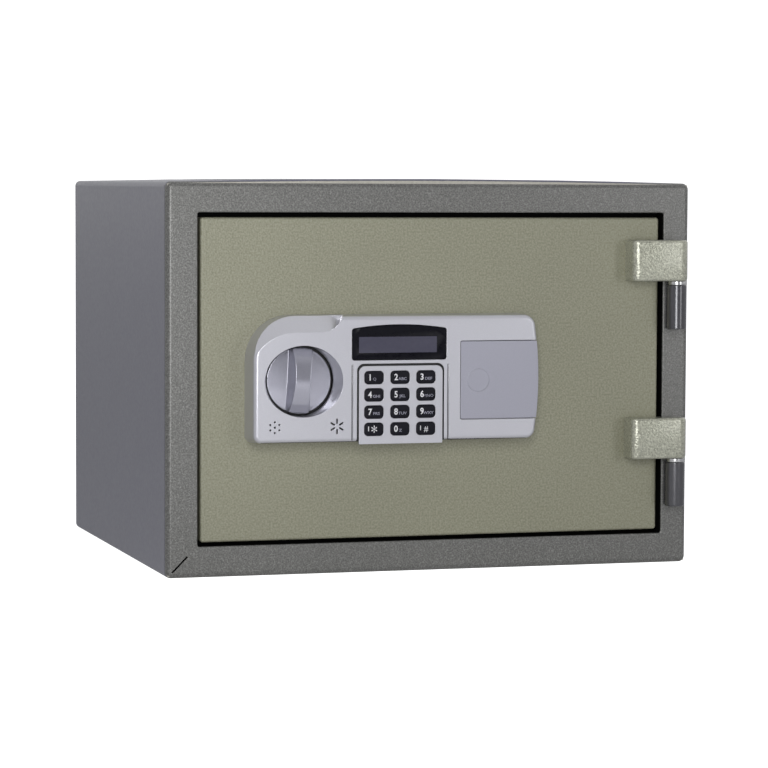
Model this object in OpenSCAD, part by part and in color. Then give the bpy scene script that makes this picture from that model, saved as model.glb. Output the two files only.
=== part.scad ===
// Fire-resistant in-room safe: steel cabinet, hinged door, electronic keypad lock.
// Origin at the centre of the base. +X is the hinge side, -Y is the front, +Z is up. Millimetres.
// Depths are counted backwards from the front of the cabinet's frame.

/* [Cabinet] */
// Width over the outer shell
body_w = 436; // [430:1:470]
// Height of the frame and of the shell's sides
body_h = 310; // [304:1:340]
// Rise of the top sheet in its middle
crown = 2.7; // [1:0.1:4]
// Depth from the frame's face to the back
body_d = 370; // [350:1:420]
// Thickness of the outer sheet
sheet = 1.5; // [1:0.25:2]
// Thickness of the inner liner sheet
liner_t = 1; // [0.8:0.1:1.2]
// Frame width on the lock side
flange_l = 25.4; // [24:0.1:28]
// Frame width on the hinge side
flange_r = 22.3; // [21:0.1:24]
// Frame width over the door
flange_t = 24; // [22:0.1:28]
// Frame width under the door
flange_b = 24.6; // [22:0.1:28]
// Fire filling beside the inner liner
fill_side = 62; // [60:1:66]
// Fire filling over and under the inner liner
fill_over = 58; // [56:1:62]
// Depth at which the inner liner starts
liner_front = 78; // [78:1:90]
// Fire filling behind the inner liner
fill_back = 51; // [40:1:60]
// Anchor hole diameter in the floor
anchor_d = 12; // [8:1:14]
// Spacing of the two anchor holes
anchor_gap = 200; // [120:5:240]

/* [Door] */
// Gap between door and frame on the lock side
gap_l = 2; // [2:0.1:4]
// Gap between door and frame on the hinge side
gap_r = 4.1; // [4:0.1:6]
// Gap over the door
gap_t = 3.8; // [2.5:0.1:5]
// Gap under the door
gap_b = 3.2; // [2.5:0.1:5]
// Thickness of the door's front sheet
door_t = 2; // [1.5:0.25:2.5]
// Thickness of the door slab
slab_t = 13.5; // [12:0.5:13.5]
// Height of the hinge axis in front of the frame
hinge_out = 11; // [11:0.5:13]
// Distance of the hinge axis from the cabinet's right side
hinge_in = 14.7; // [14:0.1:17]
// Hinge pin diameter
pin_d = 8; // [6:0.5:9]
// Height of a hinge block
block_h = 33.2; // [28:0.2:36]
// Height of a hinge barrel
barrel_h = 36; // [30:1:36]
// Lower end of the upper hinge block
upper_block_z = 231; // [225:1:240]
// Lower end of the lower hinge block
lower_block_z = 87; // [84:1:92]

/* [Lock panel] */
// Height of the panel over the door face
panel_t = 23.5; // [23:0.5:26]
// Wall of the moulded housing
wall = 2.2; // [1.8:0.1:2.6]
// Knob position across
knob_x = -112.9; // [-114:0.1:-111]
// Knob position up
knob_z = 154.5; // [152:0.5:157]
// Knob disc diameter
knob_d = 52; // [48:0.5:53]
// Depth of the knob disc under the panel's face
knob_sink = 15; // [14:0.5:15]
// Key column pitch
key_pitch_x = 21.35; // [20:0.05:22]
// Key row pitch
key_pitch_z = 13.57; // [13:0.05:14]
// Key width
key_w = 15.3; // [13:0.1:16]
// Key height
key_h = 10; // [8:0.1:10.5]
// Battery cell diameter
cell_d = 14.2; // [13.5:0.1:14.4]
// Battery cell length
cell_l = 50.5; // [49:0.5:51]

/* [Boltwork] */
// Locking bolt diameter
bolt_d = 16; // [12:0.5:16]
// Crank radius
crank_r = 14; // [14:0.5:14]
// Height of the lower locking bolt
low_bolt_z = 84; // [82:1:86]
// Height of the upper locking bolt
high_bolt_z = 226; // [220:1:228]

/* [Hidden] */
$fn = 48;
eps = 0.1;

// Cabinet
front_y = -body_d / 2;
half_w = body_w / 2;
open_x0 = -half_w + flange_l;
open_x1 = half_w - flange_r;
open_z0 = flange_b;
open_z1 = body_h - flange_t;
rebate_d = 16;
lip_in = 9.1;
lip_x0 = open_x0 + lip_in;
lip_x1 = open_x1 - lip_in - 3.1;
lip_z0 = open_z0 + 9.4;
lip_z1 = open_z1 - 10;
throat_x1 = open_x1 - 3.7;
liner_x = half_w - fill_side;
liner_z0 = fill_over;
liner_z1 = body_h - fill_over;
liner_back = body_d - fill_back;
mat_t = 2.5;
anchor_y = 20;
hinge_x = half_w - hinge_in;
knuckle_r = 8.5;
barrel_r = 8;
washer_gap = 3;
block_l = 40.8;
end_r = 6.5;
pin_fit = 0.05;
pin_foot = 4;
pin_rise = 24;
keeper_t = 3;
keeper_over = 18;
seal_t = 1.8;
sleeve_t = 2;
bolt_depth = 37;
guide_l = 7.5;

// Door
door_x0 = open_x0 + gap_l;
door_x1 = open_x1 - gap_r;
door_z0 = open_z0 + gap_b;
door_z1 = open_z1 - gap_t;
door_f = 0.5;
door_b = door_f + slab_t;
case_x0 = door_x0 + 12.6;
case_x1 = door_x1 - 17.6;
case_z0 = door_z0 + 12.2;
case_z1 = door_z1 - 12.2;
case_b = 50;
plug_x0 = case_x0 + 10;
plug_x1 = case_x1 - 24;
plug_z0 = case_z0 + 8;
plug_z1 = case_z1 - 8;
plug_b = 75;
cover_holes = [
    [case_x0 + 5, case_z0 + 30], [case_x0 + 5, case_z1 - 30],
    [case_x1 - 10, case_z0 + 30], [case_x1 - 10, case_z1 - 30]
];

// Lock panel
face = door_f - panel_t;
panel_x0 = -152.5;
panel_x1 = 82.5;
panel_z0 = 105.5;
panel_z1 = 206;
window_x0 = -73.9;
window_x1 = 3.3;
window_z0 = 170.8;
window_z1 = 198;
pad_x0 = -68.4;
pad_x1 = 0.2;
pad_z0 = panel_z0;
pad_z1 = 166;
key_cx = -34.9;
key_cz = 136.55;
key_travel = 1;
bay_x0 = 15.7;
bay_z0 = 123.1;
bay_z1 = 184.6;
cover_t = 2;
disc_f = face + knob_sink;
bosses = [[-82, 112], [-82, 198], [9.5, 112], [9.5, 197]];
cable_x = -35;
cable_z = 130;
cable_r = 1.5;
cable_hole_r = 4;
bushing_r = 7;
bushing_hole_r = 7.05;
spindle_r = 5;
lcd_box = [-70, 173, -2.5, 192];
holder_x0 = 19;
holder_x1 = 79;
holder_t = 1.5;
holder_d = -6.4;
contact_r = 4.5;
buzzer_x = -136.4;
buzzer_z = 118.9;
mark_x = -86.1;
mark_z = 119;

// Boltwork, drawn unlocked: the crank swings from 45 degrees right of upright to 45 degrees left
throw = 2 * crank_r * sin(45);
crank_dx = crank_r * cos(45);
carrier_f = 26;
carrier_t = 3;
carrier_x0 = -150;
carrier_x1 = -68;
carrier_z0 = 62;
carrier_z1 = 248;
carrier_low = 103;
flange_b_d = 44.5;
stud_r = 4;
stud_l = 10;
post_x = -100;
post_z = [122, 205];
post_r = 4;
plunger_x = -105;
plunger_r = 3;
plunger_depth = carrier_f + carrier_t / 2;
bolt_z = [low_bolt_z, high_bolt_z];

// Extrudes an X-Z outline between two depths behind the frame's face
module slab(d0, d1) {
    translate([0, front_y + d1, 0]) rotate([90, 0, 0]) linear_extrude(d1 - d0) children();
}

// X-Z rectangle between two corners
module rect(x0, z0, x1, z1) {
    translate([x0, z0]) square([x1 - x0, z1 - z0]);
}

// X-Z rectangle with round corners: lower left, lower right, upper right, upper left
module round_rect(x0, z0, x1, z1, r) {
    difference() {
        rect(x0, z0, x1, z1);
        corner_waste(x0, z0, r[0], 0);
        corner_waste(x1, z0, r[1], 90);
        corner_waste(x1, z1, r[2], 180);
        corner_waste(x0, z1, r[3], 270);
    }
}

// What a round corner of radius r takes off a square one
module corner_waste(x, z, r, turn) {
    translate([x, z]) rotate(turn) difference() {
        translate([-1, -1]) square(r + 1);
        translate([r, r]) circle(r);
    }
}

// Round bar across the door between two depths
module rod(x, z, r, d0, d1) {
    translate([x, front_y + d1, z]) rotate([90, 0, 0]) cylinder(r = r, h = d1 - d0);
}

// Round bar along X between two places
module bar_x(d, z, r, x0, x1) {
    translate([x0, front_y + d, z]) rotate([0, 90, 0]) cylinder(r = r, h = x1 - x0);
}

// Box between two corners, its Y given as depths
module block(x0, d0, z0, x1, d1, z1) {
    translate([x0, front_y + d0, z0]) cube([x1 - x0, d1 - d0, z1 - z0]);
}

// Frame between an outer and an inner rectangle
module ring(outer, inner) {
    difference() {
        rect(outer[0], outer[1], outer[2], outer[3]);
        rect(inner[0], inner[1], inner[2], inner[3]);
    }
}

// Grows a rectangle by t on each side
function grow(r, t) = [r[0] - t, r[1] - t, r[2] + t, r[3] + t];
opening = [open_x0, open_z0, open_x1, open_z1];
lip = [lip_x0, lip_z0, lip_x1, lip_z1];
throat = [lip_x0, lip_z0, throat_x1, lip_z1];
cabin = [-liner_x, liner_z0, liner_x, liner_z1];
case_edge = [case_x0, case_z0, case_x1, case_z1];
plug_edge = [plug_x0, plug_z0, plug_x1, plug_z1];
body_edge = [-half_w, 0, half_w, body_h];

// Rectangle whose upper side rises by the crown in its middle
module crowned(r) {
    steps = 16;
    width = r[2] - r[0];
    top = [for (i = [0:steps]) [r[2] - width * i / steps, r[3] + crown * (1 - pow(2 * i / steps - 1, 2))]];
    polygon(concat([[r[0], r[1]], [r[2], r[1]]], top));
}

// Upright holes or rods at the two anchor places
module at_anchors(r, z0, z1) {
    for (side = [-1, 1])
        translate([side * anchor_gap / 2, anchor_y, z0]) cylinder(r = r, h = z1 - z0);
}

// ---- Cabinet ----

module outer_shell() color("dimgray") difference() {
    slab(sheet, body_d - sheet) difference() {
        crowned(body_edge);
        crowned(grow(body_edge, -sheet));
    }
    at_anchors(anchor_d / 2, -eps, sheet + eps);
}

module front_frame() color("gray") difference() {
    union() {
        slab(0, sheet) ring(body_edge, opening);
        slab(sheet, rebate_d) ring(grow(opening, sheet), opening);
        slab(rebate_d, rebate_d + sheet) ring(grow(opening, sheet), lip);
        slab(rebate_d + sheet, liner_front - sheet) ring(grow(throat, sheet), throat);
        slab(liner_front - sheet, liner_front) ring(grow(throat, sheet), cabin);
    }
    for (z = bolt_z)
        bar_x(bolt_depth, z, bolt_d / 2 + 1, lip_x0 - sheet - eps, lip_x0 + eps);
}

module back_panel() color("dimgray") slab(body_d - sheet, body_d) crowned(body_edge);

module body_insulation() color("gainsboro") difference() {
    slab(sheet, body_d - sheet) crowned(grow(body_edge, -sheet));
    slab(sheet - eps, rebate_d + sheet) ring(grow(opening, sheet), grow(opening, -60));
    slab(sheet - eps, liner_front) ring(grow(throat, sheet), grow(throat, -60));
    slab(sheet - eps, liner_back) rect(-liner_x - liner_t, liner_z0 - liner_t, liner_x + liner_t, liner_z1 + liner_t);
    block(lip_x0 - 20, 20, low_bolt_z - 25, lip_x0, 50, high_bolt_z + 25);
    at_anchors(anchor_d / 2 + sleeve_t, 0, liner_z0);
}

module inner_liner() color("lightgray") difference() {
    slab(liner_front, liner_back) rect(-liner_x - liner_t, liner_z0 - liner_t, liner_x + liner_t, liner_z1 + liner_t);
    slab(liner_front - eps, liner_back - liner_t) rect(-liner_x, liner_z0, liner_x, liner_z1);
    at_anchors(anchor_d / 2, liner_z0 - liner_t - eps, liner_z0 + eps);
}

module door_seal() color("black") slab(rebate_d - seal_t, rebate_d)
    ring(grow(opening, -0.6), grow(lip, 1));

module anchor_sleeves() color("silver") difference() {
    at_anchors(anchor_d / 2 + sleeve_t, sheet, liner_z0 - liner_t);
    at_anchors(anchor_d / 2, sheet - eps, liner_z0);
}

module floor_mat() color("darkslategray") difference() {
    block(-liner_x + 0.5, liner_front + 4, liner_z0, liner_x - 0.5, liner_back - liner_t - 0.5, liner_z0 + mat_t);
    at_anchors(anchor_d / 2 + 3, liner_z0 - eps, liner_z0 + mat_t + eps);
}

module bolt_keeper() color("silver") difference() {
    block(lip_x0 - sheet - keeper_t, bolt_depth - 14, low_bolt_z - keeper_over,
        lip_x0 - sheet, bolt_depth + 10, high_bolt_z + keeper_over);
    for (z = bolt_z)
        bar_x(bolt_depth, z, bolt_d / 2 + 0.8, lip_x0 - sheet - keeper_t - eps, lip_x0 - sheet + eps);
}

// Barrel on a foot that is welded to the frame, its top washer_gap under the door's block
module hinge_barrel(z1) difference() {
    union() {
        translate([hinge_x, front_y - hinge_out, z1 - barrel_h]) cylinder(r = barrel_r, h = barrel_h);
        block(hinge_x - 6, -hinge_out, z1 - barrel_h, hinge_x + 6, 0, z1);
    }
    translate([hinge_x, front_y - hinge_out, z1 - barrel_h + pin_foot]) cylinder(r = pin_d / 2, h = barrel_h);
}

module upper_hinge_barrel() color("gray") hinge_barrel(upper_block_z - washer_gap);

module lower_hinge_barrel() color("gray") hinge_barrel(lower_block_z - washer_gap);

module hinge_pins() color("silver") for (z = [lower_block_z, upper_block_z])
    translate([hinge_x, front_y - hinge_out, z - washer_gap - barrel_h + pin_foot])
        cylinder(r = pin_d / 2, h = barrel_h + washer_gap - pin_foot + pin_rise);

module hinge_washers() color("silver") for (z = [lower_block_z, upper_block_z])
    translate([hinge_x, front_y - hinge_out, z - washer_gap]) difference() {
        cylinder(r = barrel_r - 0.7, h = washer_gap - 0.1);
        translate([0, 0, -eps]) cylinder(r = pin_d / 2 + pin_fit, h = washer_gap + eps);
    }

// ---- Door ----

module door_holes(d0, d1, extra) {
    rod(knob_x, knob_z, bushing_hole_r, d0, d1);
    rod(cable_x, cable_z, cable_hole_r, d0, d1);
    for (p = bosses)
        rod(p[0], p[1], 1.8 + extra, d0, d1);
}

module door_skin() color("darkkhaki") difference() {
    slab(door_f, door_b) rect(door_x0, door_z0, door_x1, door_z1);
    slab(door_f + door_t, door_b + eps) rect(door_x0 + sheet, door_z0 + sheet, door_x1 - sheet, door_z1 - sheet);
    door_holes(door_f - eps, door_b, 0);
}

module door_insulation() color("gainsboro") difference() {
    slab(door_f + door_t, door_b) rect(door_x0 + sheet, door_z0 + sheet, door_x1 - sheet, door_z1 - sheet);
    door_holes(door_f, door_b + eps, 3);
}

module boltwork_case() color("silver") difference() {
    union() {
        slab(door_b, case_b) ring(case_edge, grow(case_edge, -sheet));
        slab(door_b, door_b + sheet) rect(case_x0, case_z0, case_x1, case_z1);
        for (p = cover_holes)
            block(p[0] - 5, case_b - 5, p[1] - 6, p[0] + (p[0] < 0 ? 5 : 10), case_b, p[1] + 6);
    }
    rod(knob_x, knob_z, bushing_hole_r, door_b - eps, door_b + sheet + eps);
    rod(cable_x, cable_z, cable_hole_r, door_b - eps, door_b + sheet + eps);
    for (z = bolt_z)
        bar_x(bolt_depth, z, bolt_d / 2 + 2, case_x0 - eps, case_x0 + sheet + eps);
    for (p = cover_holes)
        rod(p[0], p[1], 2, case_b - 5 - eps, case_b + eps);
}

module bolt_guides() color("goldenrod") for (z = bolt_z)
    difference() {
        union() {
            bar_x(bolt_depth, z, bolt_d / 2 + 2, case_x0, case_x0 + guide_l);
            bar_x(bolt_depth, z, bolt_d / 2 + 4, case_x0 + sheet, case_x0 + sheet + 2);
        }
        bar_x(bolt_depth, z, bolt_d / 2 + 0.06, case_x0 - eps, case_x0 + guide_l + eps);
    }

module guide_posts() color("silver") for (z = post_z) {
    rod(post_x, z, post_r, door_b + sheet, carrier_f + carrier_t + 0.2);
    rod(post_x, z, post_r + 2.5, carrier_f + carrier_t + 0.2, carrier_f + carrier_t + 2.5);
}

module dead_bar() color("silver")
    block(case_x1, 24, 75, case_x1 + 14.5, 30, 235);

module door_inner_cover() color("lightgray") difference() {
    union() {
        slab(case_b, case_b + liner_t) rect(case_x0, case_z0, case_x1, case_z1);
        slab(case_b + liner_t, plug_b) rect(plug_x0, plug_z0, plug_x1, plug_z1);
    }
    slab(case_b - eps, plug_b - liner_t)
        rect(plug_x0 + liner_t, plug_z0 + liner_t, plug_x1 - liner_t, plug_z1 - liner_t);
    for (p = cover_holes)
        rod(p[0], p[1], 2, case_b - eps, case_b + liner_t + eps);
}

module plug_insulation() color("gainsboro") slab(case_b + 0.5, plug_b - liner_t)
    rect(plug_x0 + liner_t, plug_z0 + liner_t, plug_x1 - liner_t, plug_z1 - liner_t);

module cover_screws() color("silver") for (p = cover_holes) {
    rod(p[0], p[1], 1.95, case_b - 5, case_b + liner_t);
    rod(p[0], p[1], 3.6, case_b + liner_t, case_b + liner_t + 1.6);
}

// Block on the door's face with a round-edged end and a knuckle round the hinge axis
module hinge_block(z0) {
    front = -hinge_out - knuckle_r;
    x0 = hinge_x - block_l;
    translate([0, front_y, z0]) difference() {
        linear_extrude(block_h) union() {
            translate([x0 + end_r, front]) square([hinge_x - x0 - end_r, -front - 1]);
            translate([x0, front + end_r]) square([end_r + 1, -front - 1 - end_r]);
            translate([x0, -1 - eps]) square([door_x1 - x0, door_f + 1 + eps]);
            translate([x0 + end_r, front + end_r]) circle(end_r);
            translate([hinge_x, -hinge_out]) circle(knuckle_r);
        }
        translate([hinge_x, -hinge_out, -eps]) cylinder(r = pin_d / 2 + pin_fit, h = pin_rise + 2);
    }
}

module upper_hinge_block() color("darkkhaki") hinge_block(upper_block_z);

module lower_hinge_block() color("darkkhaki") hinge_block(lower_block_z);

module solenoid() color("steelblue") difference() {
    union() {
        block(plunger_x - 9, plunger_depth - 9, 62, plunger_x + 9, plunger_depth + 9, 90);
        block(plunger_x - 12, door_b + sheet, 60, plunger_x + 12, plunger_depth + 11, 62);
        block(plunger_x - 12, door_b + sheet, 90, plunger_x + 12, plunger_depth + 11, 92);
        block(plunger_x - 12, door_b + sheet, 62, plunger_x + 12, door_b + sheet + 2, 90);
    }
    translate([plunger_x, front_y + plunger_depth, 66]) cylinder(r = plunger_r + pin_fit, h = 30);
}

module plunger_spring() color("silver")
    translate([plunger_x, front_y + plunger_depth, 92.05]) difference() {
        cylinder(r = plunger_r + 1.4, h = 2.9);
        translate([0, 0, -eps]) cylinder(r = plunger_r + 0.4, h = 4);
    }

// ---- Lock panel ----

module panel_outline(inset) round_rect(panel_x0 + inset, panel_z0 + inset, panel_x1 - inset, panel_z1 - inset,
    [6 - inset, 8 - inset, 10 - inset, 40 - inset]);

module knob_well(r) {
    for (side = [-1, 1])
        translate([knob_x + side * 3.4, knob_z]) circle(r);
    rect(knob_x - 3.4, knob_z - r, knob_x + 3.4, knob_z + r);
}

module panel_housing() color("silver") difference() {
    union() {
        slab(face, face + 2.5) panel_outline(1.2);
        slab(face + 1, door_f) difference() {
            panel_outline(0);
            panel_outline(wall);
        }
        slab(face + 1, -1.5) knob_well(30);
        for (p = bosses)
            rod(p[0], p[1], 3.6, face + 1, door_f);
    }
    slab(face - eps, -3.6) knob_well(28.2);
    rod(knob_x, knob_z, 9.5, -3.7, -1.4);
    for (p = bosses)
        rod(p[0], p[1], 1.6, -10, door_f + eps);
    slab(face - eps, face + 3) rect(window_x0, window_z0, window_x1, window_z1);
    slab(face - eps, face + 2) rect(pad_x0 - 0.2, pad_z0 - eps, pad_x1 + 0.2, pad_z1 + 0.2);
    slab(face + 1, face + 3) rect(pad_x0 + 2.4, pad_z0 + 3, pad_x1 - 2.4, pad_z1 - 2.2);
    slab(face - eps, face + cover_t + 0.2) rect(bay_x0 - 0.2, bay_z0 - 0.2, panel_x1 + eps, bay_z1 + 0.2);
    slab(face - eps, face + 3) rect(bay_x0 + 2.5, bay_z0 + 1.5, panel_x1 - 2.4, bay_z1 - 1.5);
    slab(face - eps, face + 11.2) rect(panel_x1 - wall - eps, bay_z0 - 0.2, panel_x1 + eps, bay_z1 + 0.2);
    rod(buzzer_x, buzzer_z, 0.8, face - eps, face + 3);
    for (i = [0:5]) {
        rod(buzzer_x + 4.2 * sin(60 * i), buzzer_z + 4.2 * cos(60 * i), 0.8, face - eps, face + 3);
        translate([mark_x, 0, mark_z]) rotate([0, 60 * i, 0])
            block(-0.6, face - eps, 2, 0.6, face + 3, 6);
    }
}

module display_window() color("midnightblue") slab(face + 0.4, face + 2.4)
    rect(window_x0 + 0.2, window_z0 + 0.2, window_x1 - 0.2, window_z1 - 0.2);

module lcd_module() color("slategray") slab(face + 2.6, face + 8)
    rect(lcd_box[0], lcd_box[1], lcd_box[2], lcd_box[3]);

module keypad_plate() color("lightgray") difference() {
    slab(face - 0.6, face + 1.8) round_rect(pad_x0, pad_z0, pad_x1, pad_z1, [1, 1, 5, 5]);
    for (column = [-1:1], row = [-1.5:1.5])
        slab(face - 1, face + 2) key_outline(column, row, 0.25);
}

// Outline of one key, grown by g
module key_outline(column, row, g) {
    x = key_cx + column * key_pitch_x;
    z = key_cz - row * key_pitch_z;
    w = key_w / 2 + g;
    h = key_h / 2 + g;
    round_rect(x - w, z - h, x + w, z + h, [3 + g, 3 + g, 3 + g, 3 + g]);
}

// Key cap with a retaining flange behind the plate
module key(column, row) color("black") {
    slab(face - 1.4, face + 2.1) key_outline(column, row, 0);
    slab(face + 2.1, face + 3.3) key_outline(column, row, 0.9);
}

module keypad_board() color("darkgreen") {
    slab(face + 5.4, face + 7) rect(pad_x0 + 3, pad_z0 + 4, pad_x1 - 3, pad_z1 - 2);
    for (column = [-1:1], row = [-1.5:1.5])
        rod(key_cx + column * key_pitch_x, key_cz - row * key_pitch_z, 3.5, face + 4.6, face + 5.4);
}

module battery_holder() color("black") {
    z0 = bay_z0 + 1.7;
    z1 = bay_z1 - 1.7;
    block(holder_x0, holder_d, z0, holder_x1, holder_d + holder_t, z1);
    block(holder_x0, -20, z0, holder_x0 + holder_t, holder_d, z1);
    block(holder_x1 - holder_t, -20, z0, holder_x1, holder_d, z1);
}

cell_x0 = 24;
cell_depth = holder_d - 0.05 - cell_d / 2;
cell_z = [for (i = [0:3]) (bay_z0 + bay_z1) / 2 + (i - 1.5) * (cell_d + 0.2)];

module battery_contacts() color("gold") for (z = cell_z) {
    bar_x(cell_depth, z, contact_r, holder_x0 + holder_t, holder_x0 + holder_t + 0.7);
    bar_x(cell_depth, z, contact_r - 2, holder_x0 + holder_t + 0.7, cell_x0);
    bar_x(cell_depth, z, contact_r, cell_x0 + cell_l + 1, holder_x1 - holder_t);
}

module batteries() color("darkorange") for (z = cell_z) {
    bar_x(cell_depth, z, cell_d / 2, cell_x0, cell_x0 + cell_l);
    bar_x(cell_depth, z, 2.6, cell_x0 + cell_l, cell_x0 + cell_l + 1);
}

module buzzer() color("black") rod(buzzer_x, buzzer_z, 9, face + 2.6, face + 7);

module panel_screws() color("silver") for (p = bosses) {
    rod(p[0], p[1], 1.6, -9, door_f + door_t);
    rod(p[0], p[1], 3.5, door_f + door_t, door_f + door_t + 2.4);
}

// Wires from the keypad board through the door to the solenoid
module lock_cable() color("dimgray") {
    rod(cable_x, cable_z, cable_r, face + 7, 20);
    translate([cable_x, front_y + 20, cable_z]) sphere(r = cable_r);
    translate([cable_x, front_y + 20, 76]) cylinder(r = cable_r, h = cable_z - 76);
    translate([cable_x, front_y + 20, 76]) sphere(r = cable_r);
    bar_x(20, 76, cable_r, plunger_x + 9, cable_x);
}

module knob_bushing() color("goldenrod") difference() {
    union() {
        rod(knob_x, knob_z, bushing_r, -0.9, door_b + sheet);
        rod(knob_x, knob_z, 9, -0.9, door_f);
    }
    rod(knob_x, knob_z, spindle_r + pin_fit, -1, door_b + sheet + eps);
}

// ---- Parts that turn with the knob ----

module knob() color("silver") difference() {
    union() {
        rod(knob_x, knob_z, knob_d / 2, disc_f, disc_f + 3.8);
        rod(knob_x, knob_z, 7.5, disc_f + 3.8, -1.2);
        intersection() {
            rod(knob_x, knob_z, knob_d / 2, disc_f - 12, disc_f + 1);
            block(knob_x - 7, disc_f - 12, knob_z - 27, knob_x + 7, disc_f + 1, knob_z + 27);
            translate([knob_x - 10, front_y + disc_f + 33, knob_z]) rotate([0, 90, 0])
                cylinder(r = 45, h = 20, $fn = 96);
        }
    }
    rod(knob_x, knob_z, spindle_r, disc_f + 1, -1);
}

module spindle() color("silver") rod(knob_x, knob_z, spindle_r, disc_f + 1, 24.5);

module bolt_crank() color("goldenrod") difference() {
    union() {
        rod(knob_x, knob_z, 9, 18, 23);
        rod(knob_x + crank_dx, knob_z + crank_dx, 6, 18, 23);
        translate([knob_x, 0, knob_z]) rotate([0, -45, 0]) block(0, 18, -6, crank_r, 23, 6);
        rod(knob_x + crank_dx, knob_z + crank_dx, 3, 23, carrier_f + carrier_t + 1);
    }
    rod(knob_x, knob_z, spindle_r, 17, 24);
}

// ---- Parts that slide with the bolts ----

// Slot that leaves room for a round post of radius r over a travel along X
module travel_slot(x, z, r, travel) slab(carrier_f - eps, carrier_f + carrier_t + eps) {
    translate([x, z]) circle(r);
    translate([x + travel, z]) circle(r);
    rect(x, z - r, x + travel, z + r);
}

module bolt_carrier() color("silver") difference() {
    union() {
        slab(carrier_f, carrier_f + carrier_t) rect(carrier_x0, carrier_low, carrier_x1, carrier_z1);
        slab(carrier_f, carrier_f + carrier_t) rect(carrier_x0, carrier_z0, -135, carrier_low);
        block(carrier_x0, carrier_f, carrier_z0, carrier_x0 + carrier_t, flange_b_d, carrier_z1);
    }
    for (z = bolt_z)
        bar_x(bolt_depth, z, stud_r + pin_fit, carrier_x0 - eps, carrier_x0 + carrier_t + eps);
    for (z = post_z)
        travel_slot(post_x, z, post_r + 0.15, throw);
    slab(carrier_f - eps, carrier_f + carrier_t + eps)
        rect(knob_x + crank_dx - 3.6, knob_z + crank_dx - 6, knob_x + crank_dx + 3.6, knob_z + crank_r + 6);
    for (shift = [0, throw])
        slab(carrier_f - eps, carrier_f + carrier_t + eps)
            rect(plunger_x + shift - 3.6, carrier_low - eps, plunger_x + shift + 3.6, carrier_low + 7);
}

module locking_bolts() color("silver") for (z = bolt_z) {
    bar_x(bolt_depth, z, bolt_d / 2, case_x0, carrier_x0);
    bar_x(bolt_depth, z, stud_r, carrier_x0, carrier_x0 + stud_l);
}

module bolt_nuts() color("silver") for (z = bolt_z) difference() {
    translate([carrier_x0 + carrier_t, front_y + bolt_depth, z]) rotate([0, 90, 0]) cylinder(r = 7.4, h = 5, $fn = 6);
    bar_x(bolt_depth, z, stud_r, carrier_x0, carrier_x0 + stud_l);
}

module solenoid_plunger() color("silver") {
    translate([plunger_x, front_y + plunger_depth, 70]) cylinder(r = plunger_r, h = 32);
    translate([plunger_x, front_y + plunger_depth, 95]) cylinder(r = plunger_r + 1.5, h = 1.5);
}

// ---- Battery cover ----

module battery_cover() color("darkgray") {
    slab(face, face + cover_t)
        round_rect(bay_x0, bay_z0, panel_x1 - 0.2, bay_z1, [2, 1, 1, 2]);
    block(panel_x1 - wall, face + cover_t, bay_z0, panel_x1 - 0.2, face + 11, bay_z1);
}

outer_shell();
front_frame();
back_panel();
body_insulation();
inner_liner();
door_seal();
anchor_sleeves();
floor_mat();
bolt_keeper();
upper_hinge_barrel();
lower_hinge_barrel();
hinge_pins();
hinge_washers();
door_skin();
door_insulation();
boltwork_case();
bolt_guides();
guide_posts();
dead_bar();
door_inner_cover();
plug_insulation();
cover_screws();
upper_hinge_block();
lower_hinge_block();
solenoid();
plunger_spring();
panel_housing();
display_window();
lcd_module();
keypad_plate();
keypad_board();
battery_holder();
battery_contacts();
batteries();
buzzer();
panel_screws();
lock_cable();
knob_bushing();
knob();
spindle();
bolt_crank();
bolt_carrier();
locking_bolts();
bolt_nuts();
solenoid_plunger();
battery_cover();
key(-1, -1.5);  // key_1
key(0, -1.5);  // key_2
key(1, -1.5);  // key_3
key(-1, -0.5);  // key_4
key(0, -0.5);  // key_5
key(1, -0.5);  // key_6
key(-1, 0.5);  // key_7
key(0, 0.5);  // key_8
key(1, 0.5);  // key_9
key(-1, 1.5);  // key_star
key(0, 1.5);  // key_0
key(1, 1.5);  // key_hash
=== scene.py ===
"""Looks of a fire-resistant in-room safe, built around its fixed frame.

Sizes are millimetres in the drawings' own way of measuring: x across, d back from the face of
the cabinet's frame, z up from the floor. They turn to metres where a piece is made.
"""

import logging
import math
from contextlib import contextmanager
from dataclasses import dataclass, field, replace
from enum import Enum
from typing import Callable, Dict, Iterator, List, Optional, Sequence, Tuple

import bmesh
import bpy
from mathutils import Matrix, Vector


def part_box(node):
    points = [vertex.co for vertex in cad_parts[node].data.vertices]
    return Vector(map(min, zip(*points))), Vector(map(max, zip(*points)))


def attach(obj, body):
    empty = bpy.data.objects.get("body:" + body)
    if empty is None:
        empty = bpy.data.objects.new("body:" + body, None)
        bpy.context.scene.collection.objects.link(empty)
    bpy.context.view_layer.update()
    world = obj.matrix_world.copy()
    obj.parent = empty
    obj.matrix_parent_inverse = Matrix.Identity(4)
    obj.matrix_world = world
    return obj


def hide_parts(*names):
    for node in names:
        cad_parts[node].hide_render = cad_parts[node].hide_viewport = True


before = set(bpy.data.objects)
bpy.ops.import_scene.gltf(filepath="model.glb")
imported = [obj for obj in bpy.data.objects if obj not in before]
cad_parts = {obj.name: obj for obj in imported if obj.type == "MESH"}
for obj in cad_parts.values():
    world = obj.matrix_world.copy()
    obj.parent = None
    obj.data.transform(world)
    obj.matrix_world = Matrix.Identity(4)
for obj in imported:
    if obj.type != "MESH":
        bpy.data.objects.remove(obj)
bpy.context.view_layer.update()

MM = 0.001
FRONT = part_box("front_frame")[0].y / MM
NEAR = 0.02
KNOB_MIDDLE = (-112.9, 154.5)
KEY_LETTERS = {"1": "Q", "2": "ABC", "3": "DEF", "4": "GHI", "5": "JKL", "6": "MNO", "7": "PRS",
               "8": "TUV", "9": "WXY", "0": "Z"}
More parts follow.
